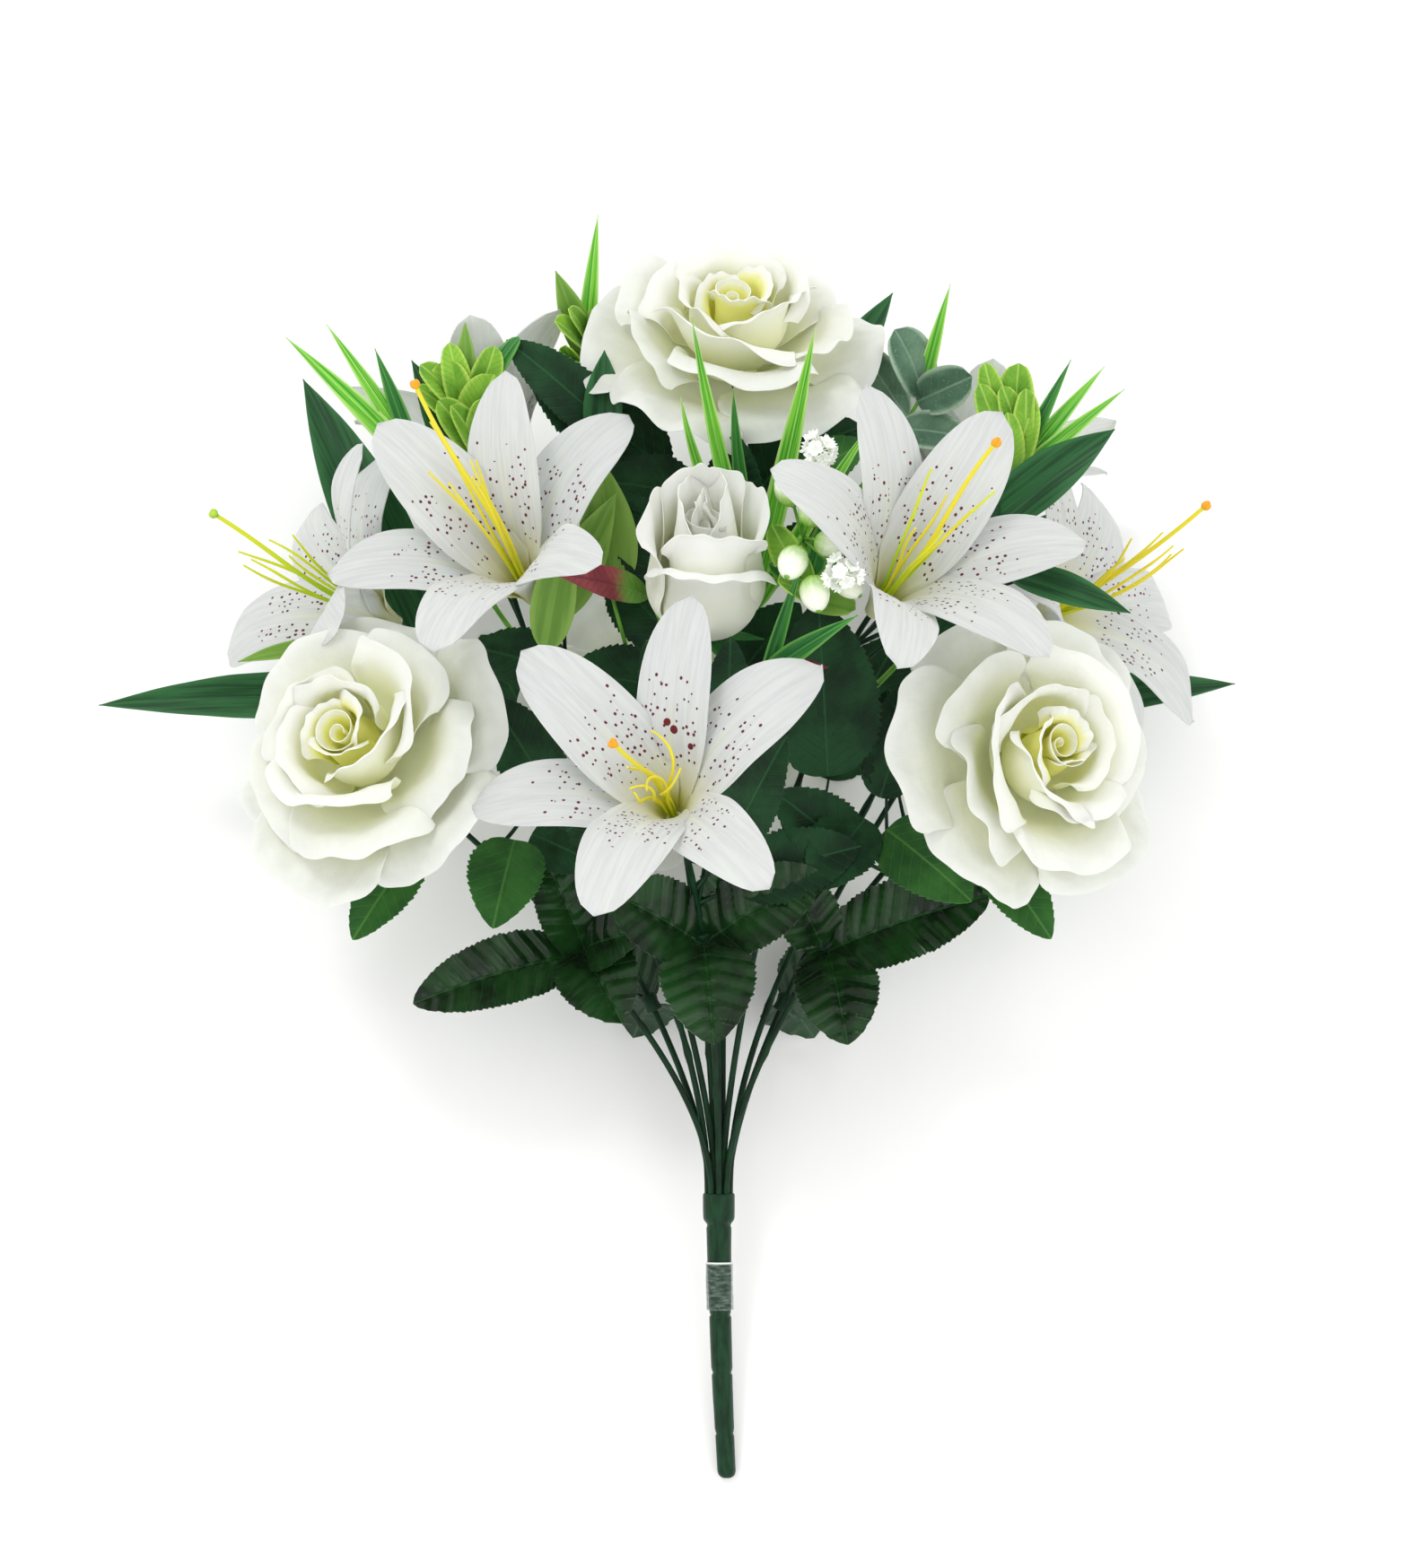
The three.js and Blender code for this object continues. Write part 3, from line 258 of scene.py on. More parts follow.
def lily_dots(f):
    """1 on small dots, one in most cells of a net, with none near the rib, the edges and both ends."""
    net = f.place(f.plus(f.times(f.across, 1 / 2.3), f.times(f.seed, 17.3)), f.times(f.along, 1 / 2.9))
    cells = f.node("TexVoronoi", {"Vector": net, "Scale": 1.0}, voronoi_dimensions="2D", feature="F1")
    chance, size, _ = f.split(cells.node.outputs[1])
    radius = f.plus(f.times(size, 0.12), 0.13)
    dot = f.smooth(f.math("SUBTRACT", cells, radius), 0.03, -0.03)
    window = f.times(f.smooth(f.t, 0.26, 0.38), f.smooth(f.t, 0.76, 0.55))
    beside = f.times(f.smooth(f.away, 1.0, 2.2), f.smooth(f.aside, 0.85, 0.7))
    kept = f.math("LESS_THAN", chance, f.times(f.times(window, beside), 0.62))
    return f.times(dot, kept)


def lily_cloth(name, front, blotches=()):
    f = Finish(name, CLOTH)
    stria = f.clouds(1.1, 22, 9.1, detail=3)
    broad = f.clouds(5, 30, 4.7)
    # Painted light: the petals' backs are much paler than their fronts, to offset the shade the backs lie in.
    low, high = ("#bcbebd", "#c4c6c5") if front else ("#dddfdf", "#e4e6e6")
    f.ground(f.smooth(stria, 0.35, 0.65), low, high)
    f.over("#d3dacb", f.smooth(broad, 0.45, 0.75, 0, 0.25))
    f.over("#d3d9a0", f.times(f.smooth(f.away, 1.6, 0.1), f.smooth(f.t, 0.75, 0.2, 0, 0.45)))
    if front:
        f.over("#e2dfa8", f.smooth(f.t, 0.42, 0.2, 0, 0.55))
        f.over("#cdca4c", f.smooth(f.t, 0.25, 0.1, 0, 0.9))
        f.over("#5c2230", lily_dots(f))
    else:
        f.over("#c3c486", f.smooth(f.t, 0.3, 0.1, 0, 0.8))
    for x, y, radius in blotches:
        here = f.place(f.times(f.across, BLOTCH_WIDEN), f.along)
        away = f.node("VectorMath", {0: here, 1: (x * BLOTCH_WIDEN, y, 0)}, output=1, operation="DISTANCE")
        f.over("#5e1620", f.smooth(away, radius + 0.15, radius - 0.15))
    return f.done(f.plus(f.times(stria, 0.4), f.times(weave(f), 0.06)), 0.16)


def rose_cloth(name, low="#e0e3d8", high="#eaede2", fold="#f9fbc8", heart_tint_and_glow="#f9f88c"):
    f = Finish(name, {**CLOTH, "Sheen Weight": 0.0, "Subsurface Weight": 0.35, "Subsurface Scale": 0.002})
    cloud = f.clouds(9, 11, 3.3, detail=3)
    fine = f.clouds(0.8, 1.4, 5.1)
    f.ground(f.smooth(cloud, 0.35, 0.7), low, high)
    # Painted light: the inner petals, and each petal towards its foot, are paler, to offset the shade in the
    # cup and stand in for light through the silk.
    f.over("#fafbf2", f.smooth(f.depth, 0.0, 0.5))
    f.over("#f8fade", f.smooth(f.t, 0.92, 0.5, 0, 0.8))
    # The cream fold colour and the yellow heart are partly the rose's own tint and partly a painted glow of
    # light through the silk.
    f.over(fold, f.times(f.smooth(f.t, 0.97, 0.45), f.plus(f.times(f.depth, 0.85), 0.1)))
    f.over(heart_tint_and_glow, f.times(f.smooth(f.depth, 0.85, 1.0), f.smooth(f.t, 0.99, 0.8)))
    f.over("#f0f2ea", f.smooth(f.t, 0.9, 1.0, 0, 0.7))
    threads = f.plus(f.times(fine, 0.25), f.times(weave(f), 0.1))
    return f.done(f.plus(threads, f.times(cloud, 1.6)), 0.5)


def feather_veins(f, spacing, slope):
    """1 on a leaf's midrib and on the side veins that run off it to the edge, 0 between them."""
    phase = f.math("SUBTRACT", f.along, f.times(f.away, slope))
    ridge = f.math("ABSOLUTE", f.math("SINE", f.times(phase, math.pi / spacing)))
    return f.math("MAXIMUM", f.smooth(ridge, 0.17, 0.02), f.smooth(f.away, 0.7, 0.25))


def leaf_cloth(name, dark, light, vein, gloss=0.6, shine=0.18, spacing=5.0, slope=0.9, grainy=1.0,
               speckle=0.0, foot=None, edge=None):
    """A leaf with feathered veins. spacing and slope: of the side veins; grainy: how mottled it is; foot and
    edge: colours of its foot and its edge."""
    f = Finish(name, {**GREEN_GLOW, "Subsurface Weight": 0.05, "Sheen Weight": 0.03, "Roughness": gloss,
                      "Specular IOR Level": shine})
    broad = f.clouds(12, 18, 6.1, detail=3)
    mottle = f.clouds(1.2, 1.2, 2.3, detail=3, roughness=0.6)
    veins = feather_veins(f, spacing, slope)
    f.ground(f.smooth(broad, 0.3, 0.7), dark, light)
    f.over(light, f.smooth(mottle, 0.5, 0.75, 0, 0.25 * grainy))
    f.over(vein, f.times(veins, 0.55))
    if speckle:
        f.over("#8fb08a", f.smooth(mottle, 0.6, 0.7, 0, speckle))
    if edge:
        f.over(edge, f.smooth(f.aside, 0.72, 0.98, 0, 0.8))
    if foot:
        f.over(foot, f.smooth(f.plus(f.t, f.times(mottle, 0.1)), 0.5, 0.3))
    f.worn(mottle, gloss, 0.08 * grainy, 0.12 * grainy)
    return f.done(f.math("SUBTRACT", f.times(mottle, 0.35 * grainy), f.times(veins, 0.7)), 0.25)


def striped_leaf(name, dark, light, edge, gloss=0.45, line_mm=1.3):
    """A blade with parallel veins and paler edges."""
    f = Finish(name, {**GREEN_GLOW, "Subsurface Weight": 0.08, "Roughness": gloss,
                      "Specular IOR Level": 0.2})
    line = f.clouds(line_mm, 40, 8.1)
    broad = f.clouds(10, 25, 2.9)
    f.ground(f.smooth(line, 0.35, 0.65), dark, light)
    f.over(dark, f.smooth(broad, 0.4, 0.8, 0, 0.3))
    f.over(edge, f.smooth(f.aside, 0.6, 0.95, 0, 0.7))
    f.over(edge, f.smooth(f.away, 0.35, 0.1, 0, 0.35))
    f.worn(broad, gloss, 0.08, 0.1)
    return f.done(line, 0.25)


def moulded(name, dark, light, gloss=0.42):
    """Injection-moulded plastic: cloudy colour, fine flow lines along the piece, worn spots."""
    f = Finish(name, {**PLASTIC, "Roughness": gloss})
    cloud = f.clouds(3, 9, 5.3, detail=3)
    flow = f.clouds(0.5, 7, 7.7)
    f.ground(f.smooth(cloud, 0.3, 0.7), dark, light)
    f.over(light, f.smooth(flow, 0.6, 0.8, 0, 0.2))
    f.worn(cloud, gloss, 0.1, 0.15)
    return f.done(flow, 0.12)


def graded(name, root, tip, gloss=0.4, low=0.1, high=0.9, translucent=0.2):
    """Colour that changes from one end of a piece to the other."""
    f = Finish(name, {"Roughness": gloss, "Specular IOR Level": 0.45, "Subsurface Weight": translucent,
                      "Subsurface Scale": 0.003, "Subsurface Radius": (1, 1, 0.7)})
    cloud = f.clouds(1.6, 3, 5.9)
    share = f.plus(f.t, f.times(f.math("SUBTRACT", cloud, 0.5), 0.3))
    f.ground(f.smooth(share, low, high), root, tip)
    f.worn(cloud, gloss, 0.08, 0.12)
    return f.done(cloud, 0.1)


def tape_film(name):
    f = Finish(name, {"Roughness": 0.14, "Specular IOR Level": 0.6, "Alpha": 0.4})
    wrinkle = f.clouds(4, 1.2, 2.0, detail=3)
    # Painted highlight: a pale, more opaque line along the film's upper edge and faintly along its lower
    # edge, where a clear film's edge catches the light.
    rim = f.math("MAXIMUM", f.smooth(f.t, 0.93, 0.99), f.smooth(f.t, 0.04, 0.0, 0, 0.3))
    f.ground(f.smooth(wrinkle, 0.4, 0.7), "#4f6257", "#8b9b91")
    f.over("#f2f5f2", rim)
    milky = f.math("MAXIMUM", f.smooth(wrinkle, 0.3, 0.7, 0.1, 0.3), f.times(rim, 0.8))
    f.put(f.shader.inputs["Alpha"], milky)
    return f.done(wrinkle, 0.25)


def floor_finish():
    f = Finish("pale_floor", {"Roughness": 0.85, "Specular IOR Level": 0.2})
    f.ground(f.noise(f.node("TexCoord", output=3), scale=3), "#f4f4f3", "#f7f7f6")
    return f.done()


LILY_FRONT = lily_cloth("lily_cloth_front", True)
LILY_BLOTCHED = lily_cloth("lily_cloth_blotched", True, BLOTCHES)
LILY_BACK_PAINTED_LIGHT = lily_cloth("lily_cloth_back_painted_light", False)
ROSE = rose_cloth("rose_cloth")
ROSE_WHITE = rose_cloth("rosebud_cloth", "#fafbf5", "#fefefb", "#f9fbe2", "#fafbe0")
ROSE_LEAF = leaf_cloth("rose_leaf_cloth", "#1f4a1f", "#33682a", "#568840")
# Painted shade: a darker copy of the rose leaf, for the leaves deep in the bush and those lying under it.
ROSE_LEAF_PAINTED_SHADE = leaf_cloth("rose_leaf_cloth_painted_shade", "#0d2615", "#1a4324", "#2a5a34")
LEAF_BACK = leaf_cloth("leaf_back_cloth", "#274a2e", "#3c6440", "#64885f", gloss=0.75)
COLLAR_LEAF = leaf_cloth("gloss_collar_leaf", "#071a08", "#183f17", "#1f4d1f", gloss=0.22, shine=0.25,
                         spacing=6.5, slope=0.55, grainy=0.12)
COLLAR_BACK = leaf_cloth("gloss_collar_leaf_back", "#16301c", "#234428", "#3a5c3e", gloss=0.4, shine=0.3,
                         spacing=6.5, slope=0.55, grainy=0.3)
LILY_LEAF = striped_leaf("lily_leaf_cloth", "#163c20", "#265a30", "#33693c", gloss=0.5)
LILY_LEAF_LIGHT = striped_leaf("light_lily_leaf", "#66903a", "#7ea548", "#8db054", gloss=0.5, line_mm=2.6)
GRASS = striped_leaf("grass_blade", "#3c9428", "#7cc43c", "#c4e58c", gloss=0.4, line_mm=0.7)
GRASS_DARK = striped_leaf("grass_blade_dark", "#1d5a2a", "#3a8038", "#6fae50", gloss=0.4, line_mm=0.8)
SPRIG = leaf_cloth("light_sprig_leaf", "#5c942a", "#8cbf40", "#b4d768", gloss=0.45, spacing=2.4,
                   edge="#b8d860")
EUCALYPTUS = leaf_cloth("eucalyptus_leaf", "#426550", "#6b8b72", "#89a48c", shine=0.3, spacing=4.2,
                        speckle=0.4, edge="#a9bfa9")
BURGUNDY = leaf_cloth("burgundy_leaf", "#6a2630", "#8a4044", "#55222a", gloss=0.55, spacing=3.0,
                      foot="#5d8a35")
STEM_PLASTIC = moulded("stem_plastic", "#08200f", "#12381f")
LIGHT_PLASTIC = moulded("light_stem_plastic", "#4f8a2e", "#7cb444")
HANDLE_PLASTIC = moulded("handle_plastic", "#0a2615", "#143c22", gloss=0.36)
CALYX_GREEN = moulded("calyx_plastic", "#27602f", "#3f8240", gloss=0.5)
FILAMENT_YELLOW = graded("filament_yellow", "#c4d020", "#e0d12a", high=0.5, translucent=0.0)
FILAMENT_GREEN = graded("filament_green", "#a0cc18", "#d2d818", translucent=0.0)
KNOB_ORANGE = graded("knob_orange", "#e2a412", "#e59a10", gloss=0.55, translucent=0.0)
KNOB_GREEN = graded("knob_green", "#7fae2c", "#a8c83a", gloss=0.55)
# The berry runs from green at its foot to near white at its tip: partly its own tone, partly a painted
# highlight towards the tip and painted shade at the foot.
BERRY = graded("berry_skin", "#8fbc4a", "#eef2e0", gloss=0.25, low=0.05, high=0.8, translucent=0.4)
FLORET = graded("floret_white", "#f0f4e6", "#fbfcf8", gloss=0.6, high=0.3)
TAPE = tape_film("clear_tape_film")


# ---------- meshes ----------


class Piece:
    """Collects sheets and solids into one object that stands for one or more nodes of the CAD model."""

    def __init__(self, name, slot, *nodes):
        self.name, self.slot, self.nodes = name, slot, nodes
        self.places, self.grain, self.share, self.faces, self.marks = [], [], [], [], []
        self.count = 0
        self.finishes = []

    def add(self, places, grain, share, groups):
        """groups is a list of (faces, finish)."""
        places = np.reshape(places, (-1, 3))
        self.places.append(places)
        self.grain.append(np.reshape(grain, (-1, 3)))
        self.share.append(np.reshape(share, (-1, 3)))
        for faces, finish in groups:
            if finish not in self.finishes:
                self.finishes.append(finish)
            self.marks += [self.finishes.index(finish)] * len(faces)
            self.faces += [[int(v) + self.count for v in face] for face in faces]
        self.count += len(places)

    def sheet(self, places, across, along, s, t, finishes, thickness, seed=0.0, depth=0.0, flip=False):
        """A closed thin sheet over a grid of places, rows along and columns across."""
        rows, columns = shape = places.shape[:2]
        normal = np.cross(np.gradient(places, axis=1), np.gradient(places, axis=0))
        normal /= np.maximum(np.linalg.norm(normal, axis=2, keepdims=True), 1e-9)
        if flip:
            normal = -normal
        both = np.stack([places + normal * thickness / 2, places - normal * thickness / 2])
        grain, share = (
            np.stack([np.broadcast_to(value, shape) for value in values], axis=2)
            for values in ((across, along, seed), (s, t, depth))
        )
        index = np.arange(rows * columns).reshape(rows, columns)
        corners = (index[:-1, :-1], index[:-1, 1:], index[1:, 1:], index[1:, :-1])
        upper = np.stack([corner.ravel() for corner in corners], axis=1)
        edge = np.concatenate([index[0, :], index[1:, -1], index[-1, -2::-1], index[-2:0:-1, 0]])
        ahead = np.roll(edge, -1)
        other = rows * columns
        rim = np.stack([ahead, edge, edge + other, ahead + other], axis=1)
        lower = upper[:, ::-1] + other
        if flip:
            upper, lower, rim = upper[:, ::-1], lower[:, ::-1], rim[:, ::-1]
        front, back = finishes
        groups = [(upper, front), (lower, back), (rim, front)]
        self.add(both, np.stack([grain, grain]), np.stack([share, share]), groups)

    def rings(self, places, turn, radius, runs, shares, finish, seed):
        """Rings of points with walls between them and a cap at each end. runs is how far along each ring is,
        in mm, and shares the same from 0 to 1. Both, and the places, hold the caps' middle points last."""
        sides, count = len(turn), len(runs) - 2
        first = count * sides
        last = first + 1

        def spread(around, along, third):
            around = np.concatenate([np.tile(around, count), [0, 0]])
            along = np.concatenate([np.repeat(along[:-2], sides), along[-2:]])
            return np.stack([around, along, np.full(first + 2, third)], axis=1)

        index = np.arange(first).reshape(count, sides)
        after = np.roll(index, -1, axis=1)
        walls = np.stack([index[:-1], after[:-1], after[1:], index[1:]], axis=2).reshape(-1, 4)
        caps = [[first, after[0, k], index[0, k]] for k in range(sides)]
        caps += [[last, index[-1, k], after[-1, k]] for k in range(sides)]
        grain = spread(turn * radius, vec(runs), seed)
        share = spread(turn / math.pi - 1, vec(shares), 0.0)
        self.add(places, grain, share, [(walls, finish), (caps, finish)])

    def tube(self, path, radius, sides, finish, seed=0.0):
        """A round rod along the path, with a radius for each of its points, closed at both ends."""
        path = vec(path)
        radius = np.broadcast_to(radius, len(path))
        along = np.gradient(path, axis=0)
        along /= np.linalg.norm(along, axis=1, keepdims=True)
        side, _ = square_to(along[0], [0.3, 0.2, 0.9] if abs(along[0][2]) < 0.8 else [0.9, 0.3, 0.1])
        turn = np.linspace(0, 2 * math.pi, sides, endpoint=False)
        rings = []
        for point, ahead, r in zip(path, along, radius):
            side = unit(side - ahead * side.dot(ahead))
            other = np.cross(ahead, side)
            rings.append(point + (np.cos(turn)[:, None] * side + np.sin(turn)[:, None] * other) * r)
        run = run_along(path)
        runs = [*run, 0, run[-1]]
        places = np.concatenate([*rings, path[:1], path[-1:]])
        self.rings(places, turn, radius.max(), runs, vec(runs) / run[-1], finish, seed)

    def turned(self, base, axis, profile, sides, finish, seed=0.0, shape=None):
        """A solid turned about an axis, from [radius, height] pairs. shape may move its points."""
        base, axis, profile = vec(base), unit(axis), vec(profile)
        side, other = square_to(axis, [0.31, 0.95, 0.07])
        turn = np.linspace(0, 2 * math.pi, sides, endpoint=False)
        ring = np.cos(turn)[:, None] * side + np.sin(turn)[:, None] * other
        inner = profile[profile[:, 0] > 1e-6]
        heights = inner[:, 1]
        ends = profile[[0, -1], 1]
        rings = [base + axis * height + ring * radius for radius, height in inner]
        places = np.concatenate([*rings, base + np.outer(ends, axis)])
        share = (heights - profile[:, 1].min()) / np.ptp(profile[:, 1])
        if shape:
            places = shape(places)
        shares = [*share, share[0], share[-1]]
        self.rings(places, turn, inner[:, 0].max(), [*heights, *ends], shares, finish, seed)

    def ball(self, middle, axis, radius, half_length, finish, seed=0.0, taper=0.0, sides=16, rings=10):
        """An oval ball along an axis. taper makes its far end slimmer."""
        angle = np.linspace(0, math.pi, rings + 1)
        height = -np.cos(angle)
        width = np.sin(angle) * (1 - taper * height)
        profile = np.stack([radius * width, half_length * height], axis=1)
        profile[[0, -1], 0] = 0
        self.turned(middle, axis, profile, sides, finish, seed)

    def finish(self, sharp=55):
        mesh = bpy.data.meshes.new(self.name)
        mesh.from_pydata(world(np.concatenate(self.places)).tolist(), [], self.faces)
        mesh.polygons.foreach_set("material_index", self.marks)
        for name, values in (("grain", self.grain), ("share", self.share)):
            layer = mesh.attributes.new(name, "FLOAT_VECTOR", "POINT")
            layer.data.foreach_set("vector", np.concatenate(values).astype(np.float32).ravel())
        for finish in self.finishes:
            mesh.materials.append(finish)
        mesh.polygons.foreach_set("use_smooth", [True] * len(mesh.polygons))
        mesh.set_sharp_from_angle(angle=math.radians(sharp))
        mesh.update()
        made = bpy.data.objects.new(self.name, mesh)
        bpy.context.scene.collection.objects.link(made)
        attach(made, "root")
        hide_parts(*self.nodes)


# ---------- leaves ----------


def outline(t, peak, fullness):
    """Share of a leaf's width at t, 1 at the peak. A high fullness is slender."""
    t = np.clip(t, 0, 1)
    return (t / peak) ** (peak * fullness) * ((1 - t) / (1 - peak)) ** ((1 - peak) * fullness)


# peak: widest place; full: high is slender; fold: how far the halves stand up; arch: bow of the midrib;
# pleat: height of the swellings. Where the kind has them, tooth: length of the teeth; bite: their depth;
# vein: distance of the side veins; slope: how far they run towards the tip
TOOTHED = dict(tooth=2.6, bite=0.09, vein=5, slope=0.9)
LEAF_KINDS = {
    "rose": dict(peak=0.42, full=1.25, fold=0.22, arch=0.07, pleat=0.28, **TOOTHED),
    "flat": dict(peak=0.42, full=1.25, fold=0, arch=0, pleat=0.1, **TOOTHED),
    "collar": dict(peak=0.46, full=1.1, fold=0.3, arch=0.12, pleat=1.35, tooth=2.2, bite=0.07, vein=6.5,
                   slope=0.55),
    "lily": dict(peak=0.42, full=1.8, fold=0.25, arch=0.06, pleat=0.05),
    "grass": dict(peak=0.3, full=1.5, fold=0.15, arch=0.05, pleat=0.08),
    "round": dict(peak=0.56, full=0.95, fold=0.25, arch=0.08, pleat=0.1, vein=2.6, slope=0.9),
    "sepal": dict(peak=0.35, full=1.6, fold=0.1, arch=0.02, pleat=0.1),
}
LEAF_FACING = vec([0, 0.25, 1])
LEAF_SHEET = 0.5
STRIPE_MM = 2.2  # from one long swelling to the next, where a leaf has no side veins
RIPPLE_MM = 26  # length of a wave of the edge

# A leaf's style: its kind and the finishes of its front and back.
FRONT_LEAF = ("rose", ROSE_LEAF, LEAF_BACK)
# This style and FLAT_LEAF take the rose leaf's darker copy, which is painted shade.
SHADED_LEAF = ("rose", ROSE_LEAF_PAINTED_SHADE, LEAF_BACK)
FLAT_LEAF = ("flat", ROSE_LEAF_PAINTED_SHADE, LEAF_BACK)
LONG_LEAF = ("lily", LILY_LEAF, LILY_LEAF)
PALE_LEAF = ("lily", LILY_LEAF_LIGHT, LILY_LEAF_LIGHT)
PALE_LEAFLET = ("round", LILY_LEAF_LIGHT, LILY_LEAF_LIGHT)
GLOSSY = ("collar", COLLAR_LEAF, COLLAR_BACK)
GRASSY = ("grass", GRASS, GRASS)
DEEP_GRASS = ("grass", GRASS_DARK, GRASS_DARK)
DEEP_LEAFLET = ("round", GRASS_DARK, GRASS_DARK)
SPRIGGY = ("round", SPRIG, SPRIG)
GREY = ("round", EUCALYPTUS, EUCALYPTUS)
RED = ("lily", BURGUNDY, BURGUNDY)
SEPAL = ("sepal", CALYX_GREEN, CALYX_GREEN)


def blade(piece, style, base, tip, width, facing, arch=None):
    kind, *finishes = style
    k = LEAF_KINDS[kind]
    bow = k["arch"] if arch is None else arch
    base, tip, facing = vec(base), vec(tip), vec(facing)
    length = np.linalg.norm(tip - base)
    ahead = unit(tip - base)
    up = unit(facing - ahead * facing.dot(ahead))
    side = np.cross(ahead, up)
    rows_per_mm = 1.6 if "tooth" in k else 0.8
    s, t = grid(5 if kind in ("grass", "sepal") else 13, int(np.clip(length * rows_per_mm, 14, 90)))
    seed = rng.uniform(0, 50)
    half = width / 2 * outline(t, k["peak"], k["full"]) + 0.5 * (1 - t)
    if "tooth" in k:
        saw = np.mod(t * length / k["tooth"] + 0.13 * np.sin(9 * t + seed), 1)
        half = half * (1 - k["bite"] * saw * smooth(np.abs(s), 0.72, 1) * smooth(t, 0.02, 0.12))
    half = np.maximum(half, 0.16)
    across = s * half
    away = np.sqrt(across ** 2 + 0.25) - 0.5
    lift = bow * length * 4 * t * (1 - t) + k["fold"] * away
    narrow = np.clip(half / 6, 0, 1)
    if "vein" in k:
        phase = (t * length - k["slope"] * np.abs(across)) / k["vein"]
        swell = np.abs(np.sin(math.pi * phase)) * smooth(np.abs(across), 0.3, 2.5)
    else:
        swell = np.cos(across * 2 * math.pi / STRIPE_MM)
    lift = lift + k["pleat"] * swell * narrow
    if kind != "flat":
        wave = np.sin(2 * math.pi * (length / RIPPLE_MM * t) + seed + 0.9 * np.sign(s))
        lift = lift + 0.05 * half * s ** 2 * wave
    places = base + (tip - base) * t[..., None] + side * across[..., None] + up * lift[..., None]
    piece.sheet(places, across, t * length, s, t, finishes, LEAF_SHEET, seed)


# ---------- roses ----------

# A layer of petals. depth: 0 outside to 1 in the middle; skew: how much further out a petal's one side
# stands, as a share; lap: how far that side is lowered, in mm; wave: how far the rim waves, in degrees; root:
# radius and height of a petal's foot; length: of the petal; bend: how steeply it climbs at five places from
# root to rim, in degrees; petals: place round the axis and half width, in degrees, share of the length, how
# far that side rolls outwards, in mm, and for some how much longer that side is, as a share
ROSE_LAYERS = [
    dict(depth=0.0, skew=0.04, lap=2.0, wave=19, root=(4, 0), length=55, bend=(-4, 6, 26, 16, -14),
         petals=[(0, 46, 1.02, 1.5), (70, 44, 0.95, 1.5), (142, 47, 1.0, 2), (214, 45, 1.03, 1.5),
                 (286, 48, 0.98, 2)]),
    dict(depth=0.2, skew=0.06, lap=1.4, wave=17, root=(4, 3.4), length=50, bend=(2, 20, 48, 42, -6),
         petals=[(34, 50, 0.94, 3), (104, 50, 1.02, 3), (174, 48, 0.9, 4), (246, 52, 1.03, 3),
                 (322, 48, 0.93, 3)]),
    dict(depth=0.45, skew=0.09, lap=0.8, wave=13, root=(4, 6.8), length=46, bend=(6, 34, 70, 72, 24),
         petals=[(8, 66, 1.0, 5), (112, 60, 0.9, 4.5), (226, 70, 1.0, 5)]),
    dict(depth=0.75, skew=0.13, lap=0, wave=9, root=(4, 10.2), length=41, bend=(2, 32, 88, 96, 44),
         petals=[(60, 74, 1.0, 4), (178, 70, 0.93, 3.5), (300, 76, 1.0, 4)]),
    dict(depth=1.0, skew=0.2, lap=0, wave=6, root=(2.5, 11), length=33, bend=(14, 66, 98, 94, 45),
         petals=[(0, 84, 1.0, 1.2), (125, 80, 0.94, 1.4), (240, 84, 1.0, 1.2)]),
]
BUD_LAYERS = [
    dict(depth=0.0, skew=0.03, lap=0, wave=3, root=(4, 0), length=60, bend=(-14, 44, 98, 98, -6),
         petals=[(-92, 84, 0.83, 2.5)]),
    dict(depth=0.0, skew=0.03, lap=0, wave=4, root=(4, 2), length=60, bend=(-14, 46, 98, 92, 62),
         petals=[(26, 64, 1.05, 1.5), (154, 62, 1.03, 1.5)]),
    dict(depth=0.1, skew=0.05, lap=0, wave=3, root=(4, 4), length=60, bend=(-6, 54, 100, 94, 72),
         petals=[(-84, 74, 0.86, 1), (90, 70, 1.12, 1)]),
    dict(depth=0.2, skew=0.1, lap=0, wave=4, root=(3, 6), length=56, bend=(14, 74, 100, 98, 84),
         petals=[(4, 106, 0.99, 1, 0.13), (176, 106, 0.97, 1, -0.13)]),
    dict(depth=0.3, skew=0.12, lap=0, wave=4, root=(2, 8), length=50, bend=(24, 80, 102, 102, 94),
         petals=[(34, 92, 0.93, 1, 0.1), (150, 92, 0.95, 1, -0.1)]),
]
# The innermost rolled sheet: radii of its inner and outer turn, low and high end, depth
ROSE_SCROLL = (1.0, 8.2, 12, 37, 1.0)
BUD_SCROLL = (1.2, 8, 8, 46, 0.3)
SCROLL_TURNS = 1.9
PETAL_SHEET = 0.28
ROSE_CORE, BUD_CORE = 12, 8  # height of the solid core


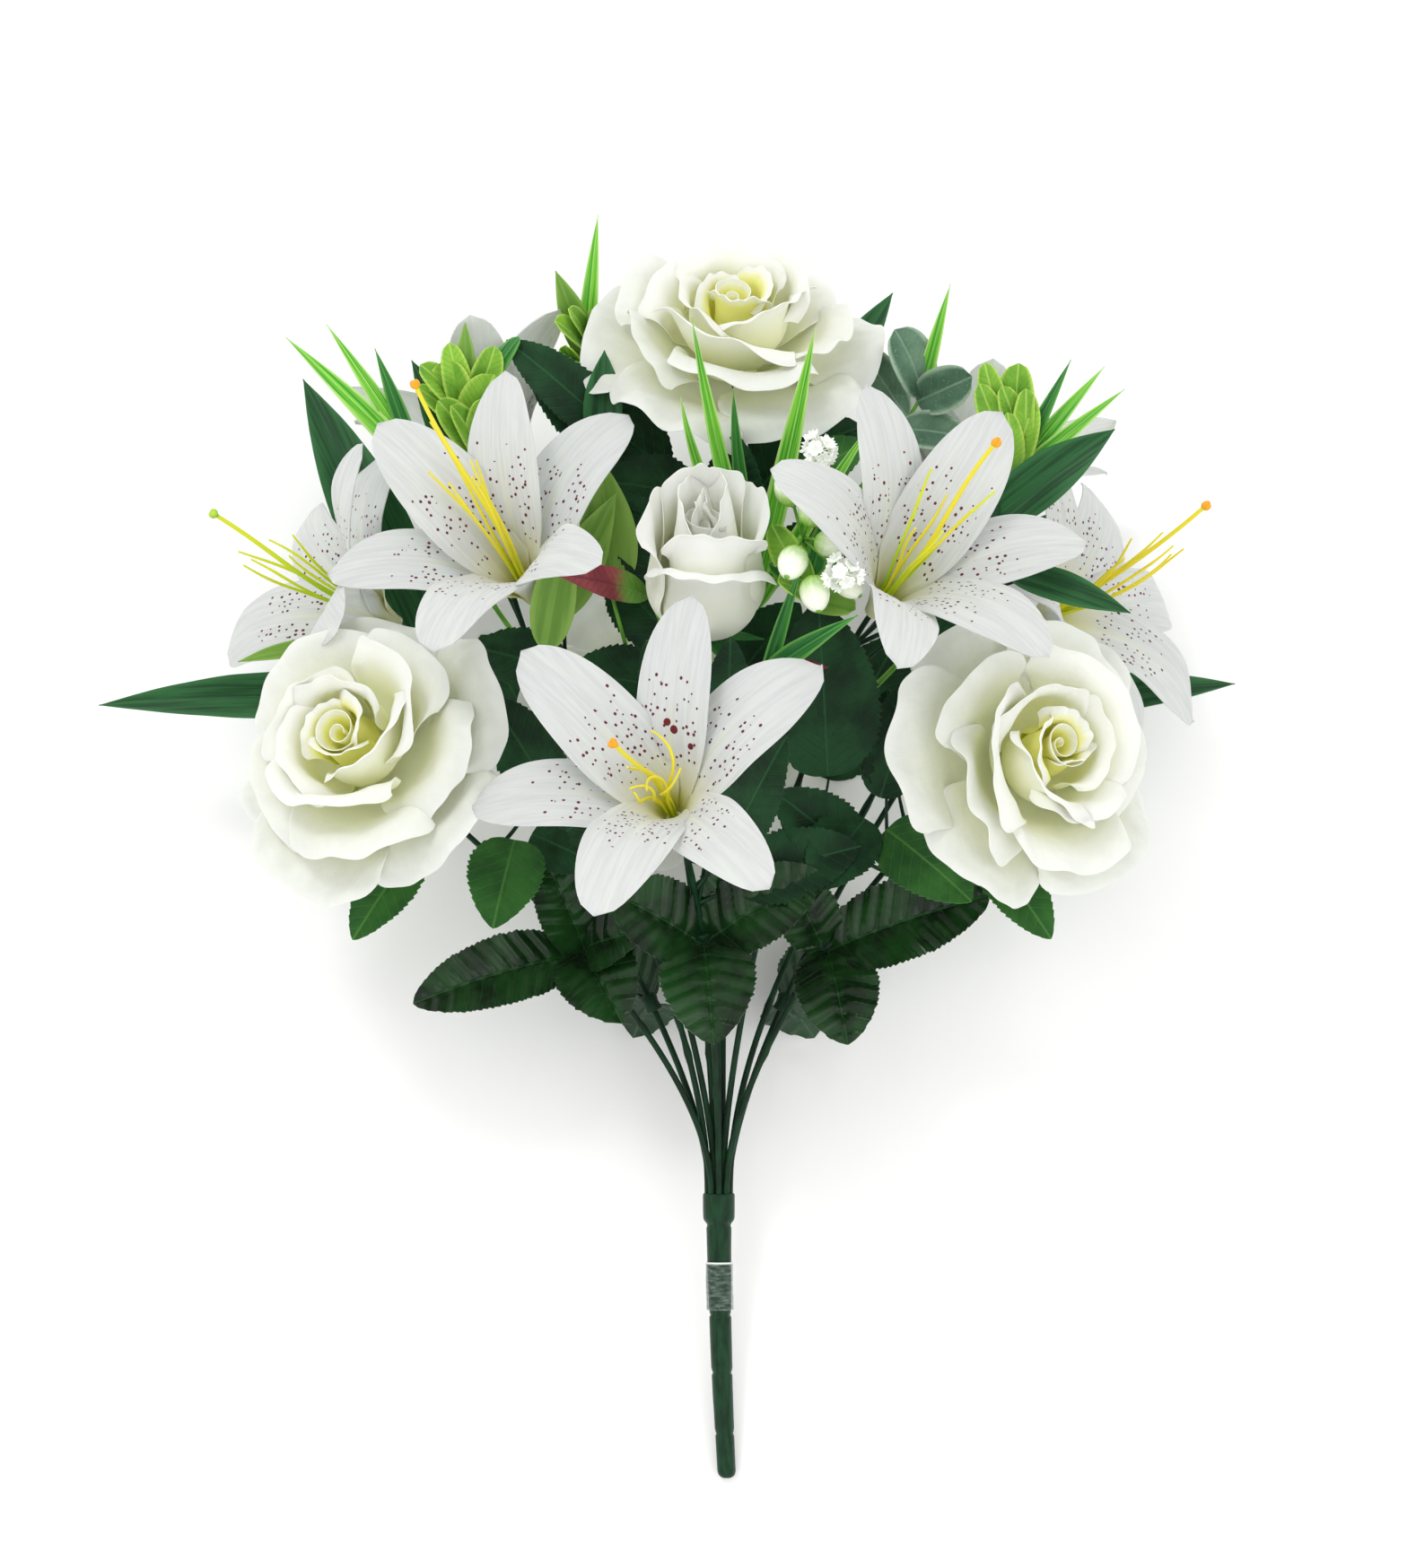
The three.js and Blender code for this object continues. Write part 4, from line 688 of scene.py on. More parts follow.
def rose_petal(piece, head, layer, petal, spin, cloth):
    columns, rows = 41, 38
    s, t = grid(columns, rows)
    place, spread, size, rolled, *tilt = petal
    foot, low = layer["root"]
    seed = rng.uniform(0, 50)
    lively = rng.uniform(-1, 1, 5)
    waves = np.sin((2.7 + 0.8 * lively[0]) * s + seed) + 0.42 * np.sin((7 + 2 * lively[1]) * s + 2 * seed)
    climb = np.radians(
        np.interp(t, np.linspace(0, 1, 5), layer["bend"])
        + 7 * lively[2] * smooth(t, 0, 0.6)
        - 24 * lively[3] * smooth(t, 0.7, 1)
        + layer["wave"] * waves * smooth(t, 0.45, 1)
        - 30 * smooth(np.abs(s), 0.35, 1) * smooth(t, 0.55, 1)
    )
    reach = size * (1 - 0.09 * np.abs(s) ** 2.4 - 0.12 * np.abs(s) ** 9 + 0.02 * np.sin(5 * s + seed))
    reach = reach * (1 + (tilt[0] if tilt else 0) * s)
    step = layer["length"] * reach / (rows - 1)
    out = np.cumsum(np.cos(climb), axis=0) * step
    high = np.cumsum(np.sin(climb), axis=0) * step
    r = (foot + out - out[:1]) * (1 + layer["skew"] * s)
    r = r + rolled * smooth(s, 0.7, 1) * smooth(t, 0.2, 0.55)
    frill = 0.6 * smooth(t, 0.78, 1) * np.sin((15 + 3 * lively[4]) * s + seed)
    h = low + high - high[:1] + frill - layer["lap"] * s * smooth(t, 0.1, 0.5)
    width = (0.64 + 0.36 * np.minimum(1, 1.8 * t)) * (1 - 0.14 * smooth(t, 0.72, 1))
    aside = s * math.radians(spread) * width
    middle = math.radians(place + spin + 4 * lively[2])
    places = head.at(r, middle + aside, h)
    along = np.cumsum(step + 0 * t, axis=0)
    piece.sheet(places, r * aside, along, s, t, (cloth, cloth), PETAL_SHEET, seed, layer["depth"], flip=True)


def rose_scroll(piece, head, inner, outer, low, high, depth, cloth):
    s, t = grid(90, 14)
    place = (s + 1) / 2
    swell = 1 + 0.16 * smooth(t, 0.7, 1) + 0.07 * np.sin(13 * place)
    r = mix(inner, outer, place) * mix(0.3, 1, t) * swell
    turn = place * SCROLL_TURNS * 2 * math.pi
    h = mix(low, high - 5 * (1 - place) ** 1.5, t) + 0.9 * np.sin(11 * place) * t
    across, along = r * turn * 0.5, t * (high - low)
    places = head.at(r, turn, h)
    piece.sheet(places, across, along, 0, t, (cloth, cloth), PETAL_SHEET, 3.0, depth, flip=True)


def rose_bloom(name, head, bud, spin):
    piece = Piece(name + "_bloom", "rose_cloth", name + "_petals")
    cloth = ROSE_WHITE if bud else ROSE
    for layer in BUD_LAYERS if bud else ROSE_LAYERS:
        for petal in layer["petals"]:
            rose_petal(piece, head, layer, petal, spin, cloth)
    rose_scroll(piece, head, *(BUD_SCROLL if bud else ROSE_SCROLL), cloth)
    core = BUD_CORE if bud else ROSE_CORE
    piece.turned(head.origin, head.z, [[0, 0.3], [3.2, 0.3], [4.2, 1.6], [3.2, core], [0, core]], 14, ROSE)
    piece.finish()


CALYX_LENGTH = 11
CALYX_TOP = -0.7


def calyx(piece, head):
    low = -CALYX_LENGTH
    cup = [[0, low], [1.5, low], [1.8, low + 1], [3.2, low + 3.6], [3.7, low + 6], [3.5, CALYX_TOP - 0.4],
           [3.1, CALYX_TOP], [0, CALYX_TOP]]
    piece.turned(head.origin, head.z, cup, 18, CALYX_GREEN)
    for i in range(5):
        turn = math.radians(72 * i + 20)
        blade(piece, SEPAL, head.at(2.5, turn, -3), head.at(23, turn, -9), 7.5, head.z)


# ---------- lilies ----------

LILY_THROAT = 22  # height where the petals leave the tube
LILY_NECK, LILY_REACH = 42, 68  # from the throat to a petal's third control point and to its tip
INNER_WIDTH, OUTER_WIDTH = 31, 26
LILY_SHEET = 0.45
STAMENS_FOOT = 1.95  # height of their plug's underside


def lily_petal(piece, head, turn, opened, inner, front):
    s, t = grid(23, 34)
    turn, angle, neck = math.radians(turn), math.radians(opened), math.radians(opened - 30)
    r = bezier([3, 5.5, 4 + LILY_NECK * math.sin(neck), 4 + LILY_REACH * math.sin(angle)], t)
    h = bezier([0, LILY_THROAT, LILY_THROAT + LILY_NECK * math.cos(neck),
                LILY_THROAT + LILY_REACH * math.cos(angle)], t)
    half = (INNER_WIDTH if inner else OUTER_WIDTH) / 2 * outline(t, 0.6, 1.25) + 2.2 * (1 - t) ** 2
    half = np.maximum(half, 0.5 * smooth(t, 1.0, 0.97) + 0.15)
    seed = rng.uniform(0, 50)
    wavy = rng.uniform(0.5, 1.1)
    flat = smooth(t, 0.15, 0.5)
    across = s * half
    outwards = head.at(1, turn, 0) - head.origin
    sideways = head.at(1, turn + math.pi / 2, 0) - head.origin
    # Near the tube the petal is wrapped round it, further out it opens flat.
    bend = np.clip(across / np.maximum(r, 3), -1.4, 1.4)
    out = mix(r * np.cos(bend), r, flat)
    beside = mix(r * np.sin(bend), across, flat)
    ahead_r, ahead_h = np.gradient(r[:, 0]), np.gradient(h[:, 0])
    size = np.hypot(ahead_r, ahead_h)
    cup = 0.16 * mix(1, -0.7, t) * s * s * half * flat
    cup = cup - 0.45 * np.exp(-(across / 1.1) ** 2) * smooth(t, 0.1, 0.3) * smooth(t, 1, 0.8)
    cup = cup + wavy * s ** 2 * smooth(t, 0.3, 0.6) * np.sin(2 * math.pi * 2.1 * t + seed + 1.3 * np.sign(s))
    cup = cup + 0.07 * np.cos(across * 2 * math.pi / 3.1) * smooth(t, 0.25, 0.5)
    cup = cup + (0.0 if inner else -1.0) * smooth(t, 0, 0.25)
    out, high = out - cup * (ahead_h / size)[:, None], h + cup * (ahead_r / size)[:, None]
    out, beside, high = (v[..., None] for v in (out, beside, high))
    places = head.origin + out * outwards + beside * sideways + high * head.z
    along = run_along(np.hstack([r, h]))[:, None]
    piece.sheet(places, across, along, s, t, (front, LILY_BACK_PAINTED_LIGHT), LILY_SHEET, seed, flip=True)


def lily_bloom(name, head, petals, marked=None):
    """petals: place round the axis and opening of each, in degrees; marked: which one has the blotches."""
    piece = Piece(name + "_bloom", "lily_cloth", name + "_petals")
    for i, (turn, opened) in enumerate(petals):
        lily_petal(piece, head, turn, opened, i % 2 == 1, LILY_BLOTCHED if i == marked else LILY_FRONT)
    piece.turned(head.origin, head.z, [[0, 0], [2.6, 0], [3.1, 1.2], [3.1, 1.6], [0, 1.6]], 14, LILY_BACK_PAINTED_LIGHT)
    piece.finish()


def lily_stamens(name, head, pistil, green, orange, curled, mixed=False):
    """A pistil that ends at the given place and six filaments, of which all are green, or with mixed every
    other one. orange: the pistil's knob; curled: the filaments wind about each other."""
    piece = Piece(name + "_filaments", "stamen_plastic", name + "_stamens")
    foot = STAMENS_FOOT
    plug = [[0, foot], [1.7, foot], [1.9, foot + 0.6], [1.5, foot + 2.6], [0, foot + 2.6]]
    piece.turned(head.origin, head.z, plug, 12, FILAMENT_GREEN)
    tip = vec(pistil)
    middle = head.at(0, 0, LILY_THROAT + 12)
    lean = tip - middle
    style = curve([head.at(0, 0, foot + 1.4), head.at(0, 0, foot + 14), middle, tip], 30)
    grown = np.linspace(0, 1, 30)
    bow = 2.2 * np.sin(math.pi * grown) * np.sin(3.6 * grown + 0.6)
    style = style + bow[:, None] * unit(np.cross(lean, head.z) + 1e-3)
    piece.tube(style, 0.8 + 0.25 * (1 - grown), 9, FILAMENT_GREEN if green else FILAMENT_YELLOW)
    ahead = unit(style[-1] - style[-3])
    side, other = square_to(ahead, [0.2, 0.4, 0.9])
    for turn in (2 * math.pi * k / 3 for k in range(3)):
        lobe = tip + (math.cos(turn) * side + math.sin(turn) * other) * 0.75
        piece.ball(lobe, ahead, 1.25, 1.7, KNOB_ORANGE if orange else KNOB_GREEN, sides=10, rings=6)
    t = grown[:, None]
    for i in range(6):
        turn = math.radians(60 * i + 10 + rng.uniform(-16, 16))
        share = rng.uniform(0.1, 0.3) if curled else rng.uniform(0.38, 0.7)
        aside = head.at(rng.uniform(6, 13), turn, rng.uniform(-2, 5)) - head.origin
        root, knee = head.at(1.1, turn, foot + 1.4), head.at(2.4, turn, LILY_THROAT)
        drift = rng.uniform(-1, 1, 3) * 5
        route = curve([root, knee, middle + aside * 0.3 + drift, middle + lean * share + aside], 30)
        phase = (6.5 if curled else 4.5) * t + i * 1.9
        swing = smooth(t, 0.3, 0.9) * (4.2 if curled else 1.3)
        route = route + swing * (np.cos(phase) * head.x + np.sin(phase) * head.y)
        pale = green or (mixed and i % 2 == 0)
        radius = 0.6 * (1 - 0.35 * smooth(grown, 0.75, 1))
        piece.tube(route, radius, 8, FILAMENT_GREEN if pale else FILAMENT_YELLOW)
    piece.finish()


# ---------- stems ----------

OUTER, INNER = 4.2, 1.65  # radii of the two rings of holes in the handle's top
HOLE_DEPTHS = (7.4, 7.2, 2.0)  # of a stem's lowest points, below the handle's top
FOOT_RADII = [0.8, 1.0, 1.0]  # of the same points
STEM_RADII = (1.25, 1.05)  # at the handle and at the head
STALK_RADII = (0.95, 0.45)  # of a leaf's stalk, at the stem and at the leaf
KNOT = 0.35  # how far a knot stands out
FOOT_LIFT = 0.35  # of a stem's route above the hole
LILY_DROP = 0.7  # from a lily's base to the end of its stem
SURFACE_UP = vec([0, math.sin(LEAN), math.cos(LEAN)])


def on_surface(x, y):
    """Where a leaf's middle plane is when the leaf lies on the surface."""
    return [x, y, (0.4 - REST_DEPTH - y * math.sin(LEAN)) / math.cos(LEAN)]


# A flower's stem. hole: its ring and degrees round it; base and facing: of the flower's head; rise and
# reach: how far the stem's curve is pulled straight up from the hole and straight below the head; spin: of a
# rose, in degrees; look: see lily_stamens; leaves: style, place along the stem, foot, tip, width and for some
# the elbow of the leaf's stalk
PICKS = {
    "rose_top": dict(
        bloom="rose", hole=(OUTER, 290), base=(5, 311, 4), facing=(0.03, 0.78, 0.62), rise=120, reach=50,
        spin=20,
        leaves=[
            (SHADED_LEAF, 0.86, (-20, 274, 2), (-71, 309, 2), 32),
            (SHADED_LEAF, 0.84, (-22, 268, -16), (-40, 311, -18), 20),
            (SHADED_LEAF, 0.86, (18, 274, 4), (54, 290, 6), 26),
            (LONG_LEAF, 0.88, (34, 290, -22), (67, 344, -26), 15),
            (FLAT_LEAF, 0.3, on_surface(40, 158), on_surface(72, 214), 38, (40, 116, -46)),
        ],
    ),
    "rose_left": dict(
        bloom="rose", hole=(OUTER, 130), base=(-123, 162, 57), facing=(-0.42, 0.36, 0.83), rise=55,
        reach=60, spin=30,
        leaves=[
            (FRONT_LEAF, 0.7, (-76, 134, 32), (-83, 102, 55), 29),
            (SHADED_LEAF, 0.72, (-70, 136, 22), (-44, 124, 30), 22),
            (FRONT_LEAF, 0.86, (-112, 132, 40), (-134, 98, 60), 22),
        ],
    ),
    "rose_right": dict(
        bloom="rose", hole=(OUTER, 50), base=(106, 161, 62), facing=(0.5, 0.24, 0.83), rise=55, reach=55,
        spin=170,
        leaves=[
            (FRONT_LEAF, 0.7, (62, 138, 40), (92, 112, 62), 30),
            (FRONT_LEAF, 0.82, (98, 132, 36), (122, 98, 50), 22),
        ],
    ),
    "rose_back": dict(
        bloom="rose", hole=(OUTER, 250), base=(-22, 178, -24), facing=(0, -0.225, -0.974), rise=80,
        reach=40, spin=75,
        leaves=[(FLAT_LEAF, 0.44, on_surface(-62, 158), on_surface(-94, 214), 38, (-66, 112, -44))],
    ),
    "rosebud": dict(
        bloom="bud", hole=(INNER, 270), base=(-5, 212, 60), facing=(0, 0.85, 0.5), rise=90, reach=60,
        spin=0,
        leaves=[
            (SHADED_LEAF, 0.83, (-15, 178, 50), (-27, 207, 64), 20),
            (SHADED_LEAF, 0.83, (3, 178, 58), (4, 208, 88), 18),
        ],
    ),
    "lily_front": dict(
        bloom="lily", hole=(OUTER, 90), base=(-16, 142, 90), facing=(-0.17, 0.42, 0.89), rise=55, reach=60,
        petals=((82, 66), (140, 64), (182, 94), (-102, 60), (-46, 66), (40, 82)),
        pistil=(-37, 169, 150), look=(False, True, True), marked=0,
        leaves=[(SHADED_LEAF, 0.74, (4, 132, 62), (24, 172, 98), 22)],
    ),
    "lily_upper_left": dict(
        bloom="lily", hole=(INNER, 150), base=(-69, 224, 42), facing=(-0.3, 0.5, 0.81), rise=60, reach=60,
        petals=((92, 56), (142, 54), (184, 86), (-94, 56), (-26, 54), (62, 88)),
        pistil=(-109, 298, 95), look=(False, True, False),
        leaves=[(PALE_LEAF, 0.9, (-64, 204, 44), (-54, 250, 74), 16)],
    ),
    "lily_upper_right": dict(
        bloom="lily", hole=(INNER, 30), base=(56, 218, 62), facing=(0.38, 0.5, 0.78), rise=60, reach=60,
        petals=((100, 60), (158, 62), (-118, 62), (-62, 58), (2, 68), (52, 50)),
        pistil=(97, 275, 125), look=(False, True, False, True),
        leaves=[
            (SHADED_LEAF, 0.7, (40, 158, 44), (36, 222, 66), 42),
            (LONG_LEAF, 0.92, (98, 250, 36), (146, 286, 44), 19),
        ],
    ),
    "lily_far_left": dict(
        bloom="lily", hole=(OUTER, 210), base=(-123, 216, -18), facing=(-0.75, 0.35, 0.55), rise=60,
        reach=25,
        petals=((144, 92), (100, 95), (52, 56), (-26, 60), (-96, 84), (-162, 84)),
        pistil=(-187, 255, 40), look=(True, False, False),
        leaves=[
            (LONG_LEAF, 0.82, (-118, 188, -30), (-236, 185, -8), 18),
            (LONG_LEAF, 0.86, (-112, 208, -38), (-162, 313, -50), 27),
        ],
    ),
    "lily_far_right": dict(
        bloom="lily", hole=(OUTER, 330), base=(119, 217, -14), facing=(0.75, 0.3, 0.55), rise=60, reach=25,
        petals=((105, 85), (46, 98), (0, 92), (-42, 86), (-110, 76), (170, 84)),
        pistil=(180, 258, 42), look=(False, True, False),
        leaves=[(LONG_LEAF, 0.82, (112, 184, -40), (201, 194, -46), 15)],
    ),
    "lily_back_left": dict(
        bloom="lily", hole=(OUTER, 174), base=(-83, 249, -11), facing=(-0.12, 0.97, -0.15), rise=84,
        reach=60,
        petals=((51, 36), (111, 30), (171, 36), (-129, 60), (-69, 56), (-9, 58)),
        pistil=(-104, 320, -22), look=(True, False, False),
        leaves=[(LONG_LEAF, 0.84, (-80, 230, -20), (-128, 284, -40), 18)],
    ),
    "lily_back_right": dict(
        bloom="lily", hole=(OUTER, 10), base=(93, 232, -22), facing=(0.12, 0.97, -0.15), rise=90, reach=60,
        petals=((9, 42), (69, 36), (129, 32), (-171, 52), (-111, 58), (-51, 50)),
        pistil=(106, 303, -24), look=(False, True, False),
        leaves=[(LONG_LEAF, 0.82, (84, 214, -26), (134, 262, -46), 18)],
    ),
}

# Further leaves of the same stems, which fill the bush between the flowers.
MORE_LEAVES = {
    "rose_top": [
        (SHADED_LEAF, 0.8, (13, 262, 16), (36, 292, 24), 26),
        (SHADED_LEAF, 0.8, (-8, 262, 20), (-44, 268, 26), 26),
        (SHADED_LEAF, 0.76, (4, 252, 24), (6, 284, 46), 24),
        (SHADED_LEAF, 0.72, (20, 236, 12), (52, 246, 20), 26),
        (LONG_LEAF, 0.84, (-44, 280, 14), (-43, 318, 14), 14),
        (FRONT_LEAF, 0.8, (20, 262, 28), (55, 282, 36), 22),
        (SHADED_LEAF, 0.8, (-36, 284, 8), (-80, 322, 12), 22),
    ],
    "rosebud": [
        (SHADED_LEAF, 0.78, (-14, 206, 26), (-41, 233, 12), 28),
        (SHADED_LEAF, 0.72, (-16, 190, 30), (-58, 196, 30), 27),
        (SHADED_LEAF, 0.74, (8, 196, 30), (30, 222, 36), 24),
        (SHADED_LEAF, 0.8, (-14, 226, 28), (-40, 264, 28), 27),
    ],
    "lily_front": [
        (SHADED_LEAF, 0.7, (-4, 126, 56), (-8, 158, 74), 22),
        (SHADED_LEAF, 0.7, (6, 118, 48), (52, 132, 50), 28),
    ],
    "rose_left": [
        (SHADED_LEAF, 0.74, (-62, 150, 24), (-86, 188, 32), 26),
        (SHADED_LEAF, 0.66, (-58, 136, 26), (-30, 158, 40), 26),
    ],
    "rose_right": [
        (SHADED_LEAF, 0.72, (54, 142, 38), (34, 116, 56), 27),
        (SHADED_LEAF, 0.76, (66, 152, 30), (62, 190, 40), 26),
        (SHADED_LEAF, 0.7, (60, 150, 32), (74, 196, 40), 25),
        (SHADED_LEAF, 0.68, (50, 128, 36), (20, 152, 50), 27),
    ],
    "lily_upper_left": [
        (SHADED_LEAF, 0.8, (-56, 196, 30), (-92, 206, 30), 24),
        (PALE_LEAF, 0.86, (-60, 216, 30), (-38, 262, 48), 17),
        (LONG_LEAF, 0.8, (-86, 258, 2), (-116, 315, 6), 17),
    ],
    "lily_upper_right": [
        (SHADED_LEAF, 0.8, (60, 214, 38), (96, 206, 34), 24),
        (SHADED_LEAF, 0.9, (72, 232, 34), (104, 262, 38), 22),
        (LONG_LEAF, 0.92, (104, 233, 60), (149, 217, 74), 12),
    ],
    "lily_far_left": [
        (PALE_LEAF, 0.9, (-150, 208, -10), (-181, 201, 12), 6),
    ],
}
for name, leaves in MORE_LEAVES.items():
    PICKS[name]["leaves"] += leaves


def hole_place(hole):
    ring, degrees = hole
    return vec([ring * math.cos(math.radians(degrees)), 0, ring * math.sin(math.radians(degrees))])


def stem_route(pick, count=121):
    hole = hole_place(pick["hole"])
    head = Head(pick["base"], pick["facing"])
    drop = LILY_DROP if pick["bloom"] == "lily" else CALYX_LENGTH - 1
    up = vec([0, 1, 0])
    points = [hole + up * FOOT_LIFT, hole + up * pick["rise"],
              head.at(0, 0, -drop - pick["reach"]), head.at(0, 0, -drop)]
    return curve(points, count)


def at_share(route, place):
    """Which point of a route is at a share of its length."""
    return int(round(place * (len(route) - 1)))


def leafy_stem(name, pick, head):
    piece = Piece(name + "_stalk", "stem_and_leaf", name + "_stem")
    hole = hole_place(pick["hole"])
    foot = np.stack([hole - vec([0, depth, 0]) for depth in HOLE_DEPTHS])
    path = np.concatenate([foot, stem_route(pick, 60)])
    radius = np.concatenate([FOOT_RADII, mix(*STEM_RADII, np.linspace(0, 1, 60))])
    radius[rng.choice(np.arange(14, 56), 3, replace=False)] += KNOT
    piece.tube(path, radius, 12, STEM_PLASTIC, seed=rng.uniform(0, 9))
    route = stem_route(pick)
    for leaf, place, root, tip, width, *elbow in pick["leaves"]:
        flat = leaf is FLAT_LEAF
        root, tip = vec(root), vec(tip)
        facing = SURFACE_UP if flat else LEAF_FACING
        start = route[at_share(route, place)]
        into = root + unit(tip - root) * min(9, 0.25 * np.linalg.norm(tip - root))
        into = into + (SURFACE_UP * 0.75 if flat else -unit(facing) * 0.1)
        bend = vec(elbow[0]) if elbow else mix(root, start, 0.4) - LEAF_FACING * 3
        piece.tube(curve([start, bend, into], 24), np.linspace(*STALK_RADII, 24), 8, STEM_PLASTIC)
        blade(piece, leaf, root, tip, width, facing)
    if pick["bloom"] != "lily":
        calyx(piece, head)
    piece.finish()


# ---------- what is threaded on the stems ----------

COLLAR_SLEEVE = (3.4, 7)  # radius and length
TWIG_SLEEVE = (2.8, 5)
SLEEVE_BORE = 1.3
RIB_RADII = (1.2, 0.4)  # of a collar leaf's rib, at the sleeve and on the leaf
TWIG_RADII = (1.2, 0.7)
DOWNWARD = vec([0, 0.3, -1])
SPRIG_WIDEN = 1.35  # the light sprigs' leaflets are drawn this much wider than their widths say


def collar(on, place, leaves, facing=LEAF_FACING):
    """Glossy leaves, each a tip and a width, from one sleeve on a stem."""
    blades = [(GLOSSY, None, tip, width, facing, None) for tip, width in leaves]
    return dict(on=on, place=place, sleeve=COLLAR_SLEEVE, slot="gloss_leaf", finish=STEM_PLASTIC,
                blades=blades)


def spray(on, place, bend, end, bunches, slot="light_green_plastic"):
    """Leaflets on a twig that bends and ends at the given places. A bunch is a style and its leaflets: place
    on the twig, tip, width and for some the bow of the midrib."""
    blades = []
    for style, *leaflets in bunches:
        for root, tip, width, *arch in leaflets:
            blades.append((style, root, tip, width, LEAF_FACING, arch[0] if arch else None))
    return dict(on=on, place=place, sleeve=TWIG_SLEEVE, slot=slot, finish=LIGHT_PLASTIC, twig=(bend, end),
                blades=blades)


THREADED = {
    "collar_left": collar("rose_left", 0.5, [
        ((-114, 73, 26), 27), ((-36, 66, 32), 32), ((-67, 131, 24), 24), ((-28, 100, 30), 24),
    ]),
    "collar_middle": collar("lily_front", 0.6, [
        ((-2, 60, 62), 36), ((-42, 116, 52), 30), ((38, 122, 54), 30), ((16, 136, 44), 26),
    ]),
    "collar_right": collar("rose_right", 0.5, [
        ((48, 58, 30), 32), ((101, 113, 24), 32), ((24, 122, 24), 24),
    ]),
    "collar_back_left": collar("lily_far_left", 0.3, [((-62, 96, -38), 30), ((-33, 57, -31), 26)], DOWNWARD),
    "collar_back_right": collar("lily_far_right", 0.3, [((66, 96, -38), 30), ((37, 57, -31), 26)], DOWNWARD),
    "grass_middle": spray("rosebud", 0.78, (18, 184, 14), (14, 230, 38), [
        (GRASSY, (0.75, (-14, 294, 88), 5, -0.17), (0.82, (-10, 322, 94), 6, -0.1)),
        (DEEP_GRASS, (0.89, (5, 296, 90), 5, -0.19)),
        (GRASSY, (0.96, (34, 318, 92), 8, -0.08), (0.75, (58, 290, 66), 6)),
    ]),
    "sprig_top": spray("rose_top", 0.8, (-36, 268, -52), (-52, 322, -24), [
        (GRASSY, (0.97, (-46, 372, -10), 6)),
        (PALE_LEAF, (0.92, (-62, 350, -4), 11)),
        (SPRIGGY, (0.8, (-62, 330, 4), 11), (0.7, (-28, 322, -26), 10), (0.95, (-57, 335, 0), 8),
         (0.9, (-47, 334, -4), 8), (0.85, (-43, 325, -2), 8), (0.75, (-58, 321, 3), 8),
         (0.8, (-60, 316, 4), 8)),
    ]),
    "sprig_left": spray("lily_upper_left", 0.84, (-80, 240, -6), (-96, 294, 10), [
        (SPRIGGY, (0.96, (-102, 314, 20), 13), (0.9, (-84, 308, 24), 12), (0.7, (-105, 298, 26), 10)),
        (PALE_LEAF, (0.95, (-95, 328, 20), 9)),
        (SPRIGGY, (0.9, (-101, 320, 22), 8), (0.98, (-112, 312, 20), 9), (0.8, (-114, 304, 17), 8),
         (0.7, (-100, 296, 28), 8), (0.75, (-88, 299, 27), 8), (0.95, (-84, 319, 20), 9)),
        (DEEP_LEAFLET, (0.9, (-75, 323, 14), 9)),
    ]),
    "grass_left": spray("lily_upper_left", 0.76, (-98, 232, -4), (-116, 282, 14), [
        (GRASSY, (0.8, (-161, 321, 34), 8), (0.9, (-146, 326, 32), 6)),
        (DEEP_GRASS, (0.97, (-128, 317, 32), 6)),
    ]),
    "eucalyptus": spray("rose_top", 0.7, (50, 256, -26), (78, 304, -2), [
        (GREY, (0.97, (66, 326, 12), 19), (0.92, (95, 308, 16), 17), (0.8, (56, 320, -16), 15),
         (0.7, (92, 286, 8), 15)),
        (GRASSY, (0.95, (87, 343, 14), 5)),
    ], slot="grey_green_plastic"),
    "grass_right": spray("lily_upper_right", 0.76, (98, 222, 0), (114, 278, 20), [
        (GRASSY, (0.8, (151, 302, 30), 6), (0.87, (144, 311, 24), 6)),
        (DEEP_GRASS, (0.93, (131, 313, 30), 5)),
        (SPRIGGY, (0.98, (112, 312, 26), 12), (0.9, (99, 312, 28), 8), (0.85, (97, 304, 30), 8),
         (0.95, (105, 303, 32), 8), (0.92, (114, 302, 32), 8), (0.8, (117, 297, 30), 8),
         (0.75, (107, 293, 34), 8)),
    ]),
    "berry_spray": spray("lily_upper_right", 0.84, (34, 200, 46), (32, 236, 64), [
        (PALE_LEAFLET, (0.8, (51, 256, 70), 14)),
        (DEEP_GRASS, (0.7, (42, 262, 84), 7)),
        (SPRIGGY, (0.6, (19, 249, 72), 9), (0.4, (21, 228, 82), 9)),
        (PALE_LEAFLET, (0.5, (49, 218, 80), 11)),
        (DEEP_LEAFLET, (0.7, (18, 235, 70), 8)),
    ]),
    "light_leaves": spray("rosebud", 0.7, (-26, 170, 26), (-40, 226, 30), [
        (PALE_LEAF, (0.95, (-44, 276, 38), 21)),
    ]),
    "grass_low": spray("rosebud", 0.62, (24, 150, 34), (16, 196, 66), [
        (DEEP_GRASS, (0.95, (49, 215, 104), 8), (0.85, (30, 236, 84), 5)),
        (RED, (1.0, (39, 197, 86), 8)),
    ]),
    "leaf_buds": spray("rosebud", 0.9, (-14, 200, 40), (-26, 224, 56), [
        (RED, (1.0, (-60, 231, 86), 12)),
    ], slot="burgundy_plastic"),
}


